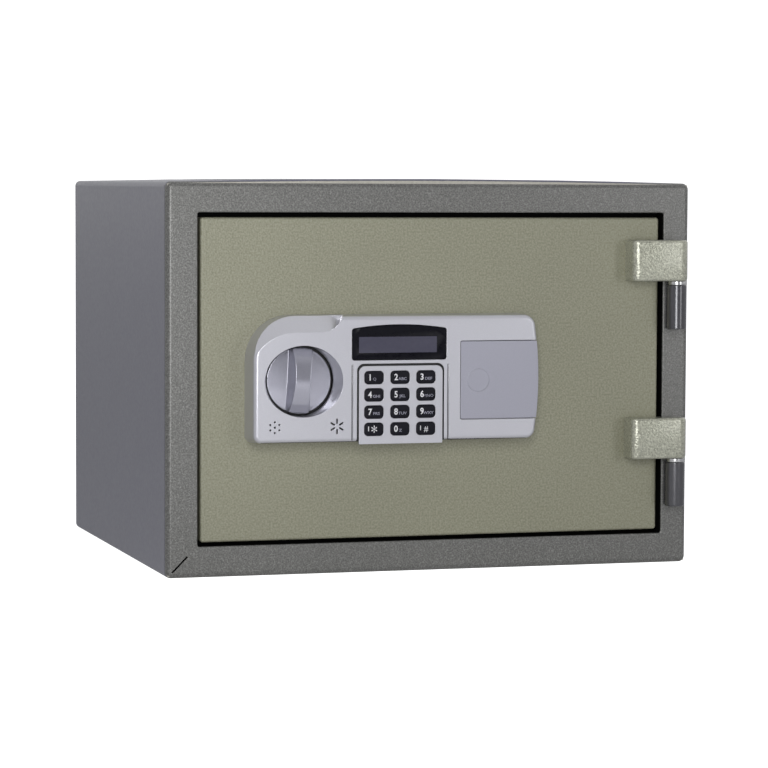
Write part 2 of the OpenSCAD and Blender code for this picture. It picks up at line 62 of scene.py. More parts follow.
# These have sharp inner corners, which a heavier stroke would close.
NARROW_LETTERS = ("MNO", "Q")
LOG = logging.getLogger("room_safe")

Piece = bpy.types.Object
Test = Callable[[Vector, Vector], bool]


# ---------------------------------------------------------------- measuring


def spot(x: float, d: float, z: float) -> Vector:
    """Turns a place on the drawing into a point in metres.

    Args:
        x: Across, in millimetres.
        d: Back from the frame's face, in millimetres.
        z: Up from the floor, in millimetres.

    Returns:
        The same place in the row frame, in metres.
    """
    return Vector((x, FRONT + d, z)) * MM


def drawn(point: Vector) -> Vector:
    """Turns a point in metres into its place on the drawing.

    Args:
        point: A point in the row frame, in metres.

    Returns:
        Its x, d and z in millimetres.
    """
    return Vector((point.x / MM, point.y / MM - FRONT, point.z / MM))


def close(a: float, b: float, slack: float = NEAR) -> bool:
    """Says whether two sizes agree.

    Args:
        a: First size.
        b: Second size.
        slack: How far apart they may be.

    Returns:
        True if they are no further apart than slack.
    """
    return abs(a - b) <= slack


@dataclass(frozen=True)
class Block:
    """A box on the drawing, in millimetres."""

    x0: float
    x1: float
    d0: float
    d1: float
    z0: float
    z1: float

    @classmethod
    def of(cls, node: str) -> "Block":
        """Reads the box of a CAD node.

        Args:
            node: Name of the node.

        Returns:
            Its box at rest.
        """
        low, high = (drawn(corner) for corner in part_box(node))
        return cls(low.x, high.x, low.y, high.y, low.z, high.z)

    def grown(self, x: float, d: float, z: float) -> "Block":
        """Moves every side outwards.

        Args:
            x: Millimetres added at the left and the right.
            d: Millimetres added at the front and the back.
            z: Millimetres added at the bottom and the top.

        Returns:
            The larger box.
        """
        return Block(self.x0 - x, self.x1 + x, self.d0 - d, self.d1 + d, self.z0 - z, self.z1 + z)

    def between(self, d0: float, d1: float) -> "Block":
        """Keeps the outline and takes new depths.

        Args:
            d0: Front.
            d1: Back.

        Returns:
            The box between those depths.
        """
        return Block(self.x0, self.x1, d0, d1, self.z0, self.z1)


# ---------------------------------------------------------------- bench: what hands do


def only(piece: Piece) -> None:
    """Selects one piece alone and makes it active.

    Args:
        piece: The piece to work on.
    """
    bpy.ops.object.select_all(action="DESELECT")
    piece.select_set(True)
    bpy.context.view_layer.objects.active = piece


def choose(piece: Piece, kind: str, test: Test) -> int:
    """Selects, in edit mode, the parts of a mesh that pass a test.

    Args:
        piece: The piece being edited.
        kind: VERT, EDGE or FACE.
        test: Gets a part's middle on the drawing and its direction or normal.

    Returns:
        How many parts passed.
    """
    bpy.ops.mesh.select_mode(type=kind)
    bpy.ops.mesh.select_all(action="DESELECT")
    mesh = bmesh.from_edit_mesh(piece.data)
    count = 0
    for part in {"VERT": mesh.verts, "EDGE": mesh.edges, "FACE": mesh.faces}[kind]:
        if kind == "VERT":
            middle, way = part.co, part.normal
        elif kind == "EDGE":
            a, b = part.verts[0].co, part.verts[1].co
            middle, way = (a + b) / 2, (b - a).normalized()
        else:
            middle, way = part.calc_center_median(), part.normal
        if test(drawn(middle), way):
            part.select_set(True)
            count += 1
    mesh.select_flush_mode()
    bmesh.update_edit_mesh(piece.data)
    return count


@contextmanager
def editing(piece: Piece) -> Iterator[None]:
    """Opens a piece for editing and closes it again.

    Args:
        piece: The piece to edit.

    Yields:
        Nothing: the piece is in edit mode with nothing selected.
    """
    only(piece)
    bpy.ops.object.mode_set(mode="EDIT")
    bpy.ops.mesh.select_all(action="DESELECT")
    yield
    bpy.ops.object.mode_set(mode="OBJECT")


def settled(name: str) -> Piece:
    """Names the piece just made and puts its place into its mesh.

    Args:
        name: Name of the piece.

    Returns:
        The piece.
    """
    piece = bpy.context.active_object
    piece.name = name
    bpy.ops.object.transform_apply(location=True, rotation=True, scale=True)
    return piece


def box(name: str, size: Block) -> Piece:
    """Makes a box.

    Args:
        name: Name of the piece.
        size: Its place and size.

    Returns:
        The new piece.
    """
    bpy.ops.object.select_all(action="DESELECT")
    middle = spot((size.x0 + size.x1) / 2, (size.d0 + size.d1) / 2, (size.z0 + size.z1) / 2)
    scale = Vector((size.x1 - size.x0, size.d1 - size.d0, size.z1 - size.z0)) * MM
    bpy.ops.mesh.primitive_cube_add(size=1, location=middle, scale=scale)
    return settled(name)


def rod(name: str, start: Vector, end: Vector, radius: float, sides: int = 64) -> Piece:
    """Makes a round bar between two places on the drawing.

    Args:
        name: Name of the piece.
        start: Middle of one end.
        end: Middle of the other end.
        radius: Its radius.
        sides: Flats round it.

    Returns:
        The new piece.
    """
    bpy.ops.object.select_all(action="DESELECT")
    a, b = spot(*start), spot(*end)
    bpy.ops.mesh.primitive_cylinder_add(vertices=sides, radius=radius * MM, depth=(b - a).length,
                                        location=(a + b) / 2,
                                        rotation=(b - a).to_track_quat("Z", "Y").to_euler())
    return settled(name)


def through(name: str, x: float, z: float, radius: float, d0: float, d1: float, sides: int = 48) -> Piece:
    """Makes a round bar from front to back.

    Args:
        name: Name of the piece.
        x: Place across.
        z: Place up.
        radius: Its radius.
        d0: Front end.
        d1: Back end.
        sides: Flats round it.

    Returns:
        The new piece.
    """
    return rod(name, Vector((x, d0, z)), Vector((x, d1, z)), radius, sides)


def round_over(piece: Piece, test: Test, radius: float, steps: int = 5) -> None:
    """Rounds the chosen edges.

    Args:
        piece: The piece to work on.
        test: Picks the edges.
        radius: Radius of the rounding.
        steps: Facets across it.
    """
    with editing(piece):
        if choose(piece, "EDGE", test):
            bpy.ops.mesh.bevel(offset=radius * MM, segments=steps, profile=0.5, affect="EDGES",
                               clamp_overlap=False)


def along(axis: int, *limits: Tuple[int, float]) -> Test:
    """Builds a test for straight edges.

    Args:
        axis: 0, 1 or 2 for edges along x, d or z.
        *limits: Pairs of an axis and the place on it.

    Returns:
        A test that passes edges along the axis at all those places.
    """
    return lambda mid, way: abs(way[axis]) > 0.99 and all(close(mid[i], v) for i, v in limits)


def at_depth(d: float) -> Test:
    """Builds a test for edges and points at one depth.

    Args:
        d: The depth.

    Returns:
        A test that passes what lies at that depth.
    """
    return lambda mid, way: close(mid.y, d) and abs(way.y) < 0.5


def facing(axis: int, sign: int, place: Optional[float] = None) -> Test:
    """Builds a test for flat faces.

    Args:
        axis: 0, 1 or 2 for faces across x, d or z.
        sign: 1 or -1 for the way they face.
        place: Where the face lies on that axis, or None for anywhere.

    Returns:
        A test that passes those faces.
    """
    return lambda mid, way: way[axis] * sign > 0.99 and (place is None or close(mid[axis], place))


def rounded_box(name: str, size: Block, radii: Sequence[float], steps: int = 8) -> Piece:
    """Makes a box whose four edges from front to back are round.

    Args:
        name: Name of the piece.
        size: Its place and size.
        radii: Radius at the lower left, lower right, upper right and upper left.
        steps: Facets across each corner.

    Returns:
        The new piece.
    """
    piece = box(name, size)
    corners = [(size.x0, size.z0), (size.x1, size.z0), (size.x1, size.z1), (size.x0, size.z1)]
    for (x, z), radius in zip(corners, radii):
        if radius:
            round_over(piece, along(1, (0, x), (2, z)), radius, steps)
    return piece


def combine(piece: Piece, tool: Piece, how: str) -> Piece:
    """Cuts, joins or crosses a piece with a tool, which is used up.

    Args:
        piece: The piece to work on.
        tool: The other shape.
        how: DIFFERENCE, UNION or INTERSECT.

    Returns:
        The piece.
    """
    only(piece)
    change = piece.modifiers.new("combine", "BOOLEAN")
    change.operation = how
    change.solver = "EXACT"
    change.object = tool
    bpy.ops.object.modifier_apply(modifier=change.name)
    bpy.data.objects.remove(tool)
    return piece


def cut(piece: Piece, *tools: Piece) -> Piece:
    """Cuts tools out of a piece, one after the other.

    Args:
        piece: The piece to cut.
        *tools: The shapes to take away.

    Returns:
        The piece.
    """
    for tool in tools:
        combine(piece, tool, "DIFFERENCE")
    return piece


def gather(name: str, pieces: Sequence[Piece]) -> Piece:
    """Puts several pieces into one object.

    Args:
        name: Name of the result.
        pieces: The pieces, which are used up.

    Returns:
        The one object.
    """
    bpy.ops.object.select_all(action="DESELECT")
    for piece in pieces:
        piece.select_set(True)
    bpy.context.view_layer.objects.active = pieces[0]
    if len(pieces) > 1:
        bpy.ops.object.join()
    pieces[0].name = name
    return pieces[0]


def tidy(piece: Piece, flat: float = 0.5) -> Piece:
    """Merges doubled points, dissolves needless edges and turns the faces outwards.

    Args:
        piece: The piece to clean.
        flat: Edges flatter than this, in degrees, are dissolved; with 0 all of them stay.

    Returns:
        The piece.
    """
    with editing(piece):
        bpy.ops.mesh.select_all(action="SELECT")
        bpy.ops.mesh.remove_doubles(threshold=0.004 * MM)
        if flat:
            bpy.ops.mesh.dissolve_limited(angle_limit=math.radians(flat))
        bpy.ops.mesh.normals_make_consistent(inside=False)
    return piece


def smooth(piece: Piece, angle: float = 32) -> Piece:
    """Shades a piece smooth over edges flatter than an angle.

    Args:
        piece: The piece to shade.
        angle: The angle in degrees.

    Returns:
        The piece.
    """
    only(piece)
    bpy.ops.object.shade_smooth_by_angle(angle=math.radians(angle))
    return piece


def soften(piece: Piece, width: float, steps: int = 2, angle: float = 35) -> Piece:
    """Breaks every sharp edge a little and shades the piece.

    Args:
        piece: The piece to finish.
        width: Width of the broken edge.
        steps: Facets across it.
        angle: Edges sharper than this, in degrees, are broken.

    Returns:
        The piece.
    """
    only(piece)
    change = piece.modifiers.new("broken edge", "BEVEL")
    change.width = width * MM
    change.segments = steps
    change.limit_method = "ANGLE"
    change.angle_limit = math.radians(angle)
    change.use_clamp_overlap = False
    bpy.ops.object.modifier_apply(modifier=change.name)
    with editing(piece):
        bpy.ops.mesh.select_all(action="SELECT")
        bpy.ops.mesh.remove_doubles(threshold=0.003 * MM)
        bpy.ops.mesh.dissolve_degenerate(threshold=0.002 * MM)
    change = piece.modifiers.new("flat faces stay flat", "WEIGHTED_NORMAL")
    change.keep_sharp = True
    smooth(piece, 40)
    bpy.ops.object.modifier_apply(modifier=change.name)
    return piece


def copy_of(node: str, name: Optional[str] = None) -> Piece:
    """Copies a CAD node's mesh into a piece of its own, merged and cleaned.

    Args:
        node: Name of the node.
        name: Name of the piece, or None for the node's own with _finished.

    Returns:
        The new piece.
    """
    piece = bpy.data.objects.new(name or node + "_finished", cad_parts[node].data.copy())
    bpy.context.scene.collection.objects.link(piece)
    piece.data.materials.clear()
    return tidy(piece, 1.0)


def copied(piece: Piece, name: str, shift: Vector) -> Piece:
    """Copies a piece with its own mesh and moves the copy.

    Args:
        piece: The piece to copy.
        name: Name of the copy.
        shift: How far it moves, in millimetres.

    Returns:
        The copy.
    """
    only(piece)
    bpy.ops.object.duplicate(linked=False)
    twin = bpy.context.active_object
    twin.name = name
    with editing(twin):
        bpy.ops.mesh.select_all(action="SELECT")
        bpy.ops.transform.translate(value=shift * MM)
    return twin


def outline(name: str, points: Sequence[Tuple[float, float]], d: float) -> Piece:
    """Makes a flat face with its corners at given places.

    Args:
        name: Name of the piece.
        points: x and z of each corner, in order.
        d: Depth of the face.

    Returns:
        The new piece, one face at that depth.
    """
    bpy.ops.object.select_all(action="DESELECT")
    bpy.ops.mesh.primitive_circle_add(vertices=len(points), radius=0.01, fill_type="NGON",
                                      rotation=(math.pi / 2, 0, 0))
    piece = settled(name)
    reshape(piece, list(range(len(points))), [(x, d, z) for x, z in points])
    return piece


def oval(middle: Tuple[float, float], half_width: float, half_height: float,
         sides: int) -> List[Tuple[float, float]]:
    """Works out the corners of an oval outline.

    Args:
        middle: x and z of its middle.
        half_width: Half of its width.
        half_height: Half of its height.
        sides: Corners round it.

    Returns:
        x and z of each corner, in order.
    """
    turns = [math.tau * i / sides for i in range(sides)]
    return [(middle[0] + half_width * math.cos(t), middle[1] + half_height * math.sin(t)) for t in turns]


def reshape(piece: Piece, numbers: Sequence[int], places: Sequence[Tuple[float, float, float]]) -> None:
    """Moves single points of a mesh to given places.

    Args:
        piece: The piece to shape.
        numbers: Numbers of the points.
        places: x, d and z for each of them.
    """
    with editing(piece):
        bpy.ops.mesh.select_mode(type="VERT")
        for number, place in zip(numbers, places):
            bpy.ops.mesh.select_all(action="DESELECT")
            mesh = bmesh.from_edit_mesh(piece.data)
            mesh.verts.ensure_lookup_table()
            mesh.verts[number].select_set(True)
            mesh.select_flush_mode()
            shift = spot(*place) - mesh.verts[number].co
            bpy.ops.transform.translate(value=shift)


def loft(name: str, sections: Sequence[Tuple[float, Sequence[Tuple[float, float]]]]) -> Piece:
    """Makes a closed solid through several outlines with the same number of corners.

    Args:
        name: Name of the piece.
        sections: Depth and corners of each outline, from front to back.

    Returns:
        The new piece.
    """
    rings = [outline(name, points, d) for d, points in sections]
    piece = gather(name, rings)
    with editing(piece):
        bpy.ops.mesh.select_all(action="SELECT")
        bpy.ops.mesh.delete(type="ONLY_FACE")
        bpy.ops.mesh.select_mode(type="EDGE")
        for (d0, _), (d1, _) in zip(sections, sections[1:]):
            choose(piece, "EDGE", lambda mid, way, a=d0, b=d1: close(mid.y, a) or close(mid.y, b))
            bpy.ops.mesh.bridge_edge_loops(use_merge=False, twist_offset=0)
        for d in (sections[0][0], sections[-1][0]):
            choose(piece, "EDGE", lambda mid, way, a=d: close(mid.y, a))
            bpy.ops.mesh.edge_face_add()
        bpy.ops.mesh.select_all(action="SELECT")
        bpy.ops.mesh.normals_make_consistent(inside=False)
    return piece


def bowed(piece: Piece, side: int, place: float, across: int, span: Tuple[float, float],
          rise: float, rows: int = 9) -> Piece:
    """Curves one flat side of a piece outwards.

    Args:
        piece: The piece to shape.
        side: Axis that the side faces, 0 or 2.
        place: Where the side lies on that axis.
        across: Axis that the curve runs along.
        span: Where the curve starts and ends on it.
        rise: Height of the curve in its middle.
        rows: Cuts made across the side.

    Returns:
        The piece.
    """
    with editing(piece):
        long_edge = 0.6 * (span[1] - span[0]) * MM
        bpy.ops.mesh.select_mode(type="EDGE")
        mesh = bmesh.from_edit_mesh(piece.data)
        for edge in mesh.edges:
            ends = [drawn(v.co) for v in edge.verts]
            if all(close(e[side], place) for e in ends) and edge.calc_length() > long_edge:
                edge.select_set(abs((ends[1] - ends[0])[across]) * MM > long_edge)
        mesh.select_flush_mode()
        bpy.ops.mesh.subdivide(number_cuts=rows)
        mesh = bmesh.from_edit_mesh(piece.data)
        places = sorted({round(drawn(v.co)[across], 2) for v in mesh.verts
                         if close(drawn(v.co)[side], place)})
        middle, half = (span[0] + span[1]) / 2, (span[1] - span[0]) / 2
        for level in places:
            lift = rise * (1 - ((level - middle) / half) ** 2)
            if lift > NEAR:
                choose(piece, "VERT", lambda mid, way, a=level: close(mid[side], place)
                       and close(mid[across], a))
                shift = Vector((0, 0, 0))
                shift[side] = lift * MM
                bpy.ops.transform.translate(value=shift)
    return piece


# ---------------------------------------------------------------- finishes


# Places of the colour sockets on a mix node.
FACTOR, FIRST_COLOUR, SECOND_COLOUR, MIXED_COLOUR = 0, 6, 7, 2
# How far the roughness of a finish wanders up and down.
SPREAD = 0.05
# Where the pools of a hammered lacquer start and end in height.
POOL_HEIGHTS = (0.08, 0.42)


class Pattern(Enum):
    """How a surface is broken up when seen close."""

    GRAIN = "soft irregular grain: orange peel, pimples, pores, or lines where it is stretched"
    HAMMER = "small round pools of a hammered lacquer"


def linear(colour: str) -> Tuple[float, float, float, float]:
    """Turns an sRGB hex colour into linear light.

    Args:
        colour: Six hex digits.

    Returns:
        Red, green, blue and full opacity, linear.
    """
    levels = [int(colour[i:i + 2], 16) / 255 for i in (0, 2, 4)]
    r, g, b = (c / 12.92 if c <= 0.04045 else ((c + 0.055) / 1.055) ** 2.4 for c in levels)
    return (r, g, b, 1.0)


def add_node(tree: bpy.types.NodeTree, kind: str, inputs: Optional[Dict] = None,
             **settings: object) -> bpy.types.Node:
    """Adds a shader node with its settings and links.

    Args:
        tree: The node tree.
        kind: Type of the node.
        inputs: A value or an output socket for each named input.
        **settings: Properties of the node.

    Returns:
        The new node.
    """
    node = tree.nodes.new(kind)
    for key, value in settings.items():
        setattr(node, key, value)
    for key, value in (inputs or {}).items():
        if isinstance(value, bpy.types.NodeSocket):
            tree.links.new(value, node.inputs[key])
        else:
            node.inputs[key].default_value = value
    return node


@dataclass(frozen=True)
class Finish:
    """One finish of the real safe and how it answers to light."""

    name: str
    colour: str
    speck: str
    pattern: Pattern = Pattern.GRAIN
    roughness: float = 0.4
    metallic: float = 0.0
    cell: float = 1.0
    relief: float = 0.02
    contrast: float = 0.5
    drift: float = 0.06
    coat: float = 0.0
    coat_roughness: float = 0.1
    specular: float = 0.5
    stretch: Tuple[float, float, float] = (1, 1, 1)

    def material(self) -> bpy.types.Material:
        """Builds the finish once and gives it out afterwards.

        Returns:
            The material.
        """
        known = bpy.data.materials.get(self.name)
        return known if known else self.build()

    def build(self) -> bpy.types.Material:
        """Builds the node tree of the finish.

        Returns:
            The new material.
        """
        material = bpy.data.materials.new(self.name)
        material.use_nodes = True
        tree = material.node_tree
        tree.nodes.clear()
        where = add_node(tree, "ShaderNodeTexCoord")
        spread = add_node(tree, "ShaderNodeMapping", {"Vector": where.outputs["Object"],
                                                      "Scale": self.stretch})
        per_metre = 1 / (self.cell * MM)
        fine = add_node(tree, "ShaderNodeTexNoise", {"Vector": spread.outputs["Vector"],
                                                     "Scale": per_metre, "Detail": 3.0,
                                                     "Roughness": 0.55})
        height = fine.outputs["Fac"]
        low, high = 0.5 - self.contrast / 2, 0.5 + self.contrast / 2
        if self.pattern is Pattern.HAMMER:
            pools = add_node(tree, "ShaderNodeTexVoronoi", {"Vector": spread.outputs["Vector"],
                                                            "Scale": per_metre * 0.8},
                             feature="SMOOTH_F1")
            height = add_node(tree, "ShaderNodeMath", {0: pools.outputs["Distance"],
                                                       1: fine.outputs["Fac"]},
                              operation="MULTIPLY").outputs[0]
            low, high = POOL_HEIGHTS
        share = add_node(tree, "ShaderNodeMapRange", {"Value": height, "From Min": low,
                                                      "From Max": high})
        tone = add_node(tree, "ShaderNodeMix", {FACTOR: share.outputs["Result"],
                                                FIRST_COLOUR: linear(self.colour),
                                                SECOND_COLOUR: linear(self.speck)}, data_type="RGBA")
        broad = add_node(tree, "ShaderNodeTexNoise", {"Vector": where.outputs["Object"], "Scale": 9.0,
                                                      "Detail": 2.0})
        level = add_node(tree, "ShaderNodeMapRange", {"Value": broad.outputs["Fac"],
                                                      "From Min": 0.3, "From Max": 0.7,
                                                      "To Min": 1 - self.drift, "To Max": 1 + self.drift})
        base = add_node(tree, "ShaderNodeHueSaturation", {"Color": tone.outputs[MIXED_COLOUR],
                                                          "Value": level.outputs["Result"]})
        gloss = add_node(tree, "ShaderNodeMapRange", {"Value": fine.outputs["Fac"],
                                                      "From Min": 0.3, "From Max": 0.7,
                                                      "To Min": self.roughness - SPREAD,
                                                      "To Max": self.roughness + SPREAD})
        bump = add_node(tree, "ShaderNodeBump", {"Height": height, "Strength": 1.0,
                                                 "Distance": self.relief * MM})
        shader = add_node(tree, "ShaderNodeBsdfPrincipled", {
            "Base Color": base.outputs["Color"], "Roughness": gloss.outputs["Result"],
            "Metallic": self.metallic, "Coat Weight": self.coat,
            "Coat Roughness": self.coat_roughness, "Specular IOR Level": self.specular,
            "Normal": bump.outputs["Normal"]})
        add_node(tree, "ShaderNodeOutputMaterial", {"Surface": shader.outputs["BSDF"]})
        return material


# Stoving enamel over rolled sheet: smooth, a little glossy, violet-grey.
SHELL_PAINT = Finish("satin_stoving_enamel", "767686", "797989", Pattern.GRAIN, 0.38, cell=3.0,
                     relief=0.03, contrast=0.6, drift=0.02, coat=0.12, coat_roughness=0.25)
# Hammered lacquer: grey with round pools that catch the light, about a millimetre wide.
FRAME_PAINT = Finish("hammered_lacquer_grey", "5f5f5c", "8a8a87", Pattern.HAMMER, 0.38, 0.3, cell=0.9,
                     relief=0.2, drift=0.03, coat=0.3, coat_roughness=0.22)
# Textured powder coat: green-grey, matt, pimples about 1.5 mm apart.
DOOR_PAINT = Finish("textured_powder_coat", "85856f", "9f9e8a", Pattern.GRAIN, 0.45, 0.15, cell=1.5,
                    relief=0.3, contrast=0.3, drift=0.03, coat=0.2, coat_roughness=0.3)
# Hammered lacquer on the hinges: lighter and warmer, thick enough to round the edges.
HINGE_PAINT = Finish("hammered_lacquer_light", "a0a192", "c2c3b2", Pattern.HAMMER, 0.3, 0.5, cell=1.3,
                     relief=0.5, drift=0.03, coat=0.5, coat_roughness=0.15)
# Smooth dark lacquer on the hinge barrels, glossier than on the frame.
BARREL_PAINT = Finish("lacquered_steel_barrel", "4c4c50", "545458", Pattern.GRAIN, 0.22, 0.5, cell=3.0,
                      relief=0.04, contrast=0.6, drift=0.02, coat=0.6, coat_roughness=0.12)
# Satin white-grey enamel inside the cabin.
LINER_PAINT = Finish("satin_enamel_light_grey", "b4b4b0", "bcbcb8", Pattern.GRAIN, 0.45, cell=2.5,
                     relief=0.03, drift=0.02)
# Poured gypsum and cement: dull and porous.
FIRE_FILL = Finish("cast_gypsum_cement", "bab7ac", "cbc8bd", Pattern.GRAIN, 0.9, cell=2.5, relief=0.25)
# Intumescent strip: dull black with a fine grit. It is also laid on the frame's rebate as painted shade for the
# deep door gap.
SEAL_STRIP_AND_REBATE_SHADE = Finish("intumescent_strip_and_rebate_shade", "050505", "0b0b0b", Pattern.GRAIN, 0.85, cell=1.0, relief=0.06,
                    specular=0.1)
# Needle felt: soft dark blue-grey, fibres a millimetre across.
FELT = Finish("needle_felt", "26282c", "3a3c42", Pattern.GRAIN, 0.95, cell=0.9, relief=0.3,
              stretch=(1, 0.6, 1), specular=0.2)
# Bright zinc plating on pressed steel.
ZINC = Finish("bright_zinc_plate", "b6b7b8", "c3c4c2", Pattern.GRAIN, 0.32, 1.0, cell=1.2,
              relief=0.01, stretch=(1, 1, 0.15))
# Ground and polished steel of the bolts and pins.
GROUND_STEEL = Finish("ground_steel", "b9b9ba", "c6c6c6", Pattern.GRAIN, 0.22, 1.0, cell=0.8,
                      relief=0.006, stretch=(8, 1, 1))
# Turned brass.
BRASS = Finish("turned_brass", "c09a50", "cba75e", Pattern.GRAIN, 0.28, 1.0, cell=0.8, relief=0.008)
# Aluminium-flake lacquer over moulded ABS: light silver, soft sheen under a thin clear coat.
PANEL_SILVER = Finish("silver_lacquered_abs", "c4c4cb", "cdcdd4", Pattern.GRAIN, 0.36, 0.5,
                      cell=0.7, relief=0.004, drift=0.01, coat=0.9, coat_roughness=0.12)
# The cover's own spraying: flatter and a shade more violet.
COVER_SILVER = Finish("silver_lacquered_abs_satin", "a5a5b1", "adadb9", Pattern.GRAIN, 0.42, 0.25,
                      cell=0.7, relief=0.004, drift=0.01, coat=0.2, coat_roughness=0.3)
# The knob's glossier lacquer.
KNOB_SILVER = Finish("silver_lacquered_knob", "b0b0bc", "b8b8c4", Pattern.GRAIN, 0.17, 0.5,
                     cell=0.7, relief=0.003, drift=0.01, coat=0.8, coat_roughness=0.08)
# Smoked acrylic with a dark navy print behind it.
WINDOW = Finish("smoked_acrylic", "04040e", "050510", Pattern.GRAIN, 0.3, cell=4.0, relief=0.0002,
                drift=0.01, specular=0.15)
# Unlit liquid crystal glass seen through the acrylic.
LCD = Finish("unlit_liquid_crystal", "4e4d5c", "525160", Pattern.GRAIN, 0.4, cell=3.0,
             relief=0.0002, drift=0.02, specular=0.15)
# Silicone-soft ABS of the key caps, nearly black with a blue cast.
KEY_BLACK = Finish("black_key_cap", "040410", "060614", Pattern.GRAIN, 0.4, cell=0.8, relief=0.003,
                   specular=0.2)
# Pad-printed ink of the figures and letters.
INK_WHITE = Finish("pad_printed_white", "f2f2f4", "e8e8ea", Pattern.GRAIN, 0.6, cell=0.5, relief=0.002)
INK_GREY = Finish("pad_printed_grey", "a2a2b0", "9a9aa8", Pattern.GRAIN, 0.6, cell=0.5, relief=0.002)
# Solder mask on a circuit board.
BOARD = Finish("solder_mask_green", "1c5a34", "236a3e", Pattern.GRAIN, 0.35, cell=1.5, relief=0.02)
# Moulded black ABS. It is also painted into the housing's deep gaps as painted shade.
BLACK_ABS_AND_GAP_SHADE = Finish("moulded_black_abs_and_gap_shade", "101011", "18181a", Pattern.GRAIN, 0.5, cell=0.8, relief=0.01)
# Printed shrink sleeve of a cell.
CELL_WRAP = Finish("shrink_sleeve", "b0661a", "bd7022", Pattern.GRAIN, 0.25, cell=6.0, relief=0.02,
                   coat=0.5, coat_roughness=0.1)
# Polyester tape over a wound coil.
COIL_TAPE = Finish("coil_tape", "34506f", "3b5a7c", Pattern.GRAIN, 0.4, cell=1.0, relief=0.02)
# Vinyl sleeve of the cable.
CABLE_SLEEVE = Finish("vinyl_sleeve", "2c2c2e", "343436", Pattern.GRAIN, 0.45, cell=1.0, relief=0.01)


# ---------------------------------------------------------------- sub-assemblies


@dataclass
class SubAssembly:
    """A group of pieces that ride on one body."""

    body: str = "cabinet"

    def fit(self, piece: Piece, finish: Finish, slot: str, *nodes: str, body: Optional[str] = None) -> Piece:
        """Finishes a piece and puts it on the body.

        Args:
            piece: The piece, already in place.
            finish: What it is painted or made of.
            slot: Not used.
            *nodes: CAD nodes that it stands for.
            body: Body that it rides on, if it isn't the group's own.

        Returns:
            The piece.
        """
        if not piece.data.materials:
            piece.data.materials.append(finish.material())
        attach(piece, body or self.body)
        if nodes:
            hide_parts(*nodes)
        LOG.info("%s: %d faces on %s", piece.name, len(piece.data.polygons), body or self.body)
        return piece

    def paint(self, finish: Finish, *nodes: str) -> None:
        """Gives CAD nodes that stay as they are their finish.

        Args:
            finish: The finish.
            *nodes: Names of the nodes.
        """
        for node in nodes:
            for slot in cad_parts[node].material_slots:
                slot.material = finish.material()
            LOG.info("%s: kept, %s", node, finish.name)

    def softened(self, node: str, finish: Finish, slot: str, width: float, steps: int = 2) -> Piece:
        """Replaces a CAD node by a copy with its edges broken.

        Args:
            node: Name of the node.
            finish: Its finish.
            slot: Material slot name, handed on to fit.
            width: Width of the broken edges.
            steps: Facets across them.

        Returns:
            The new piece.
        """
        return self.fit(soften(copy_of(node), width, steps), finish, slot, node)


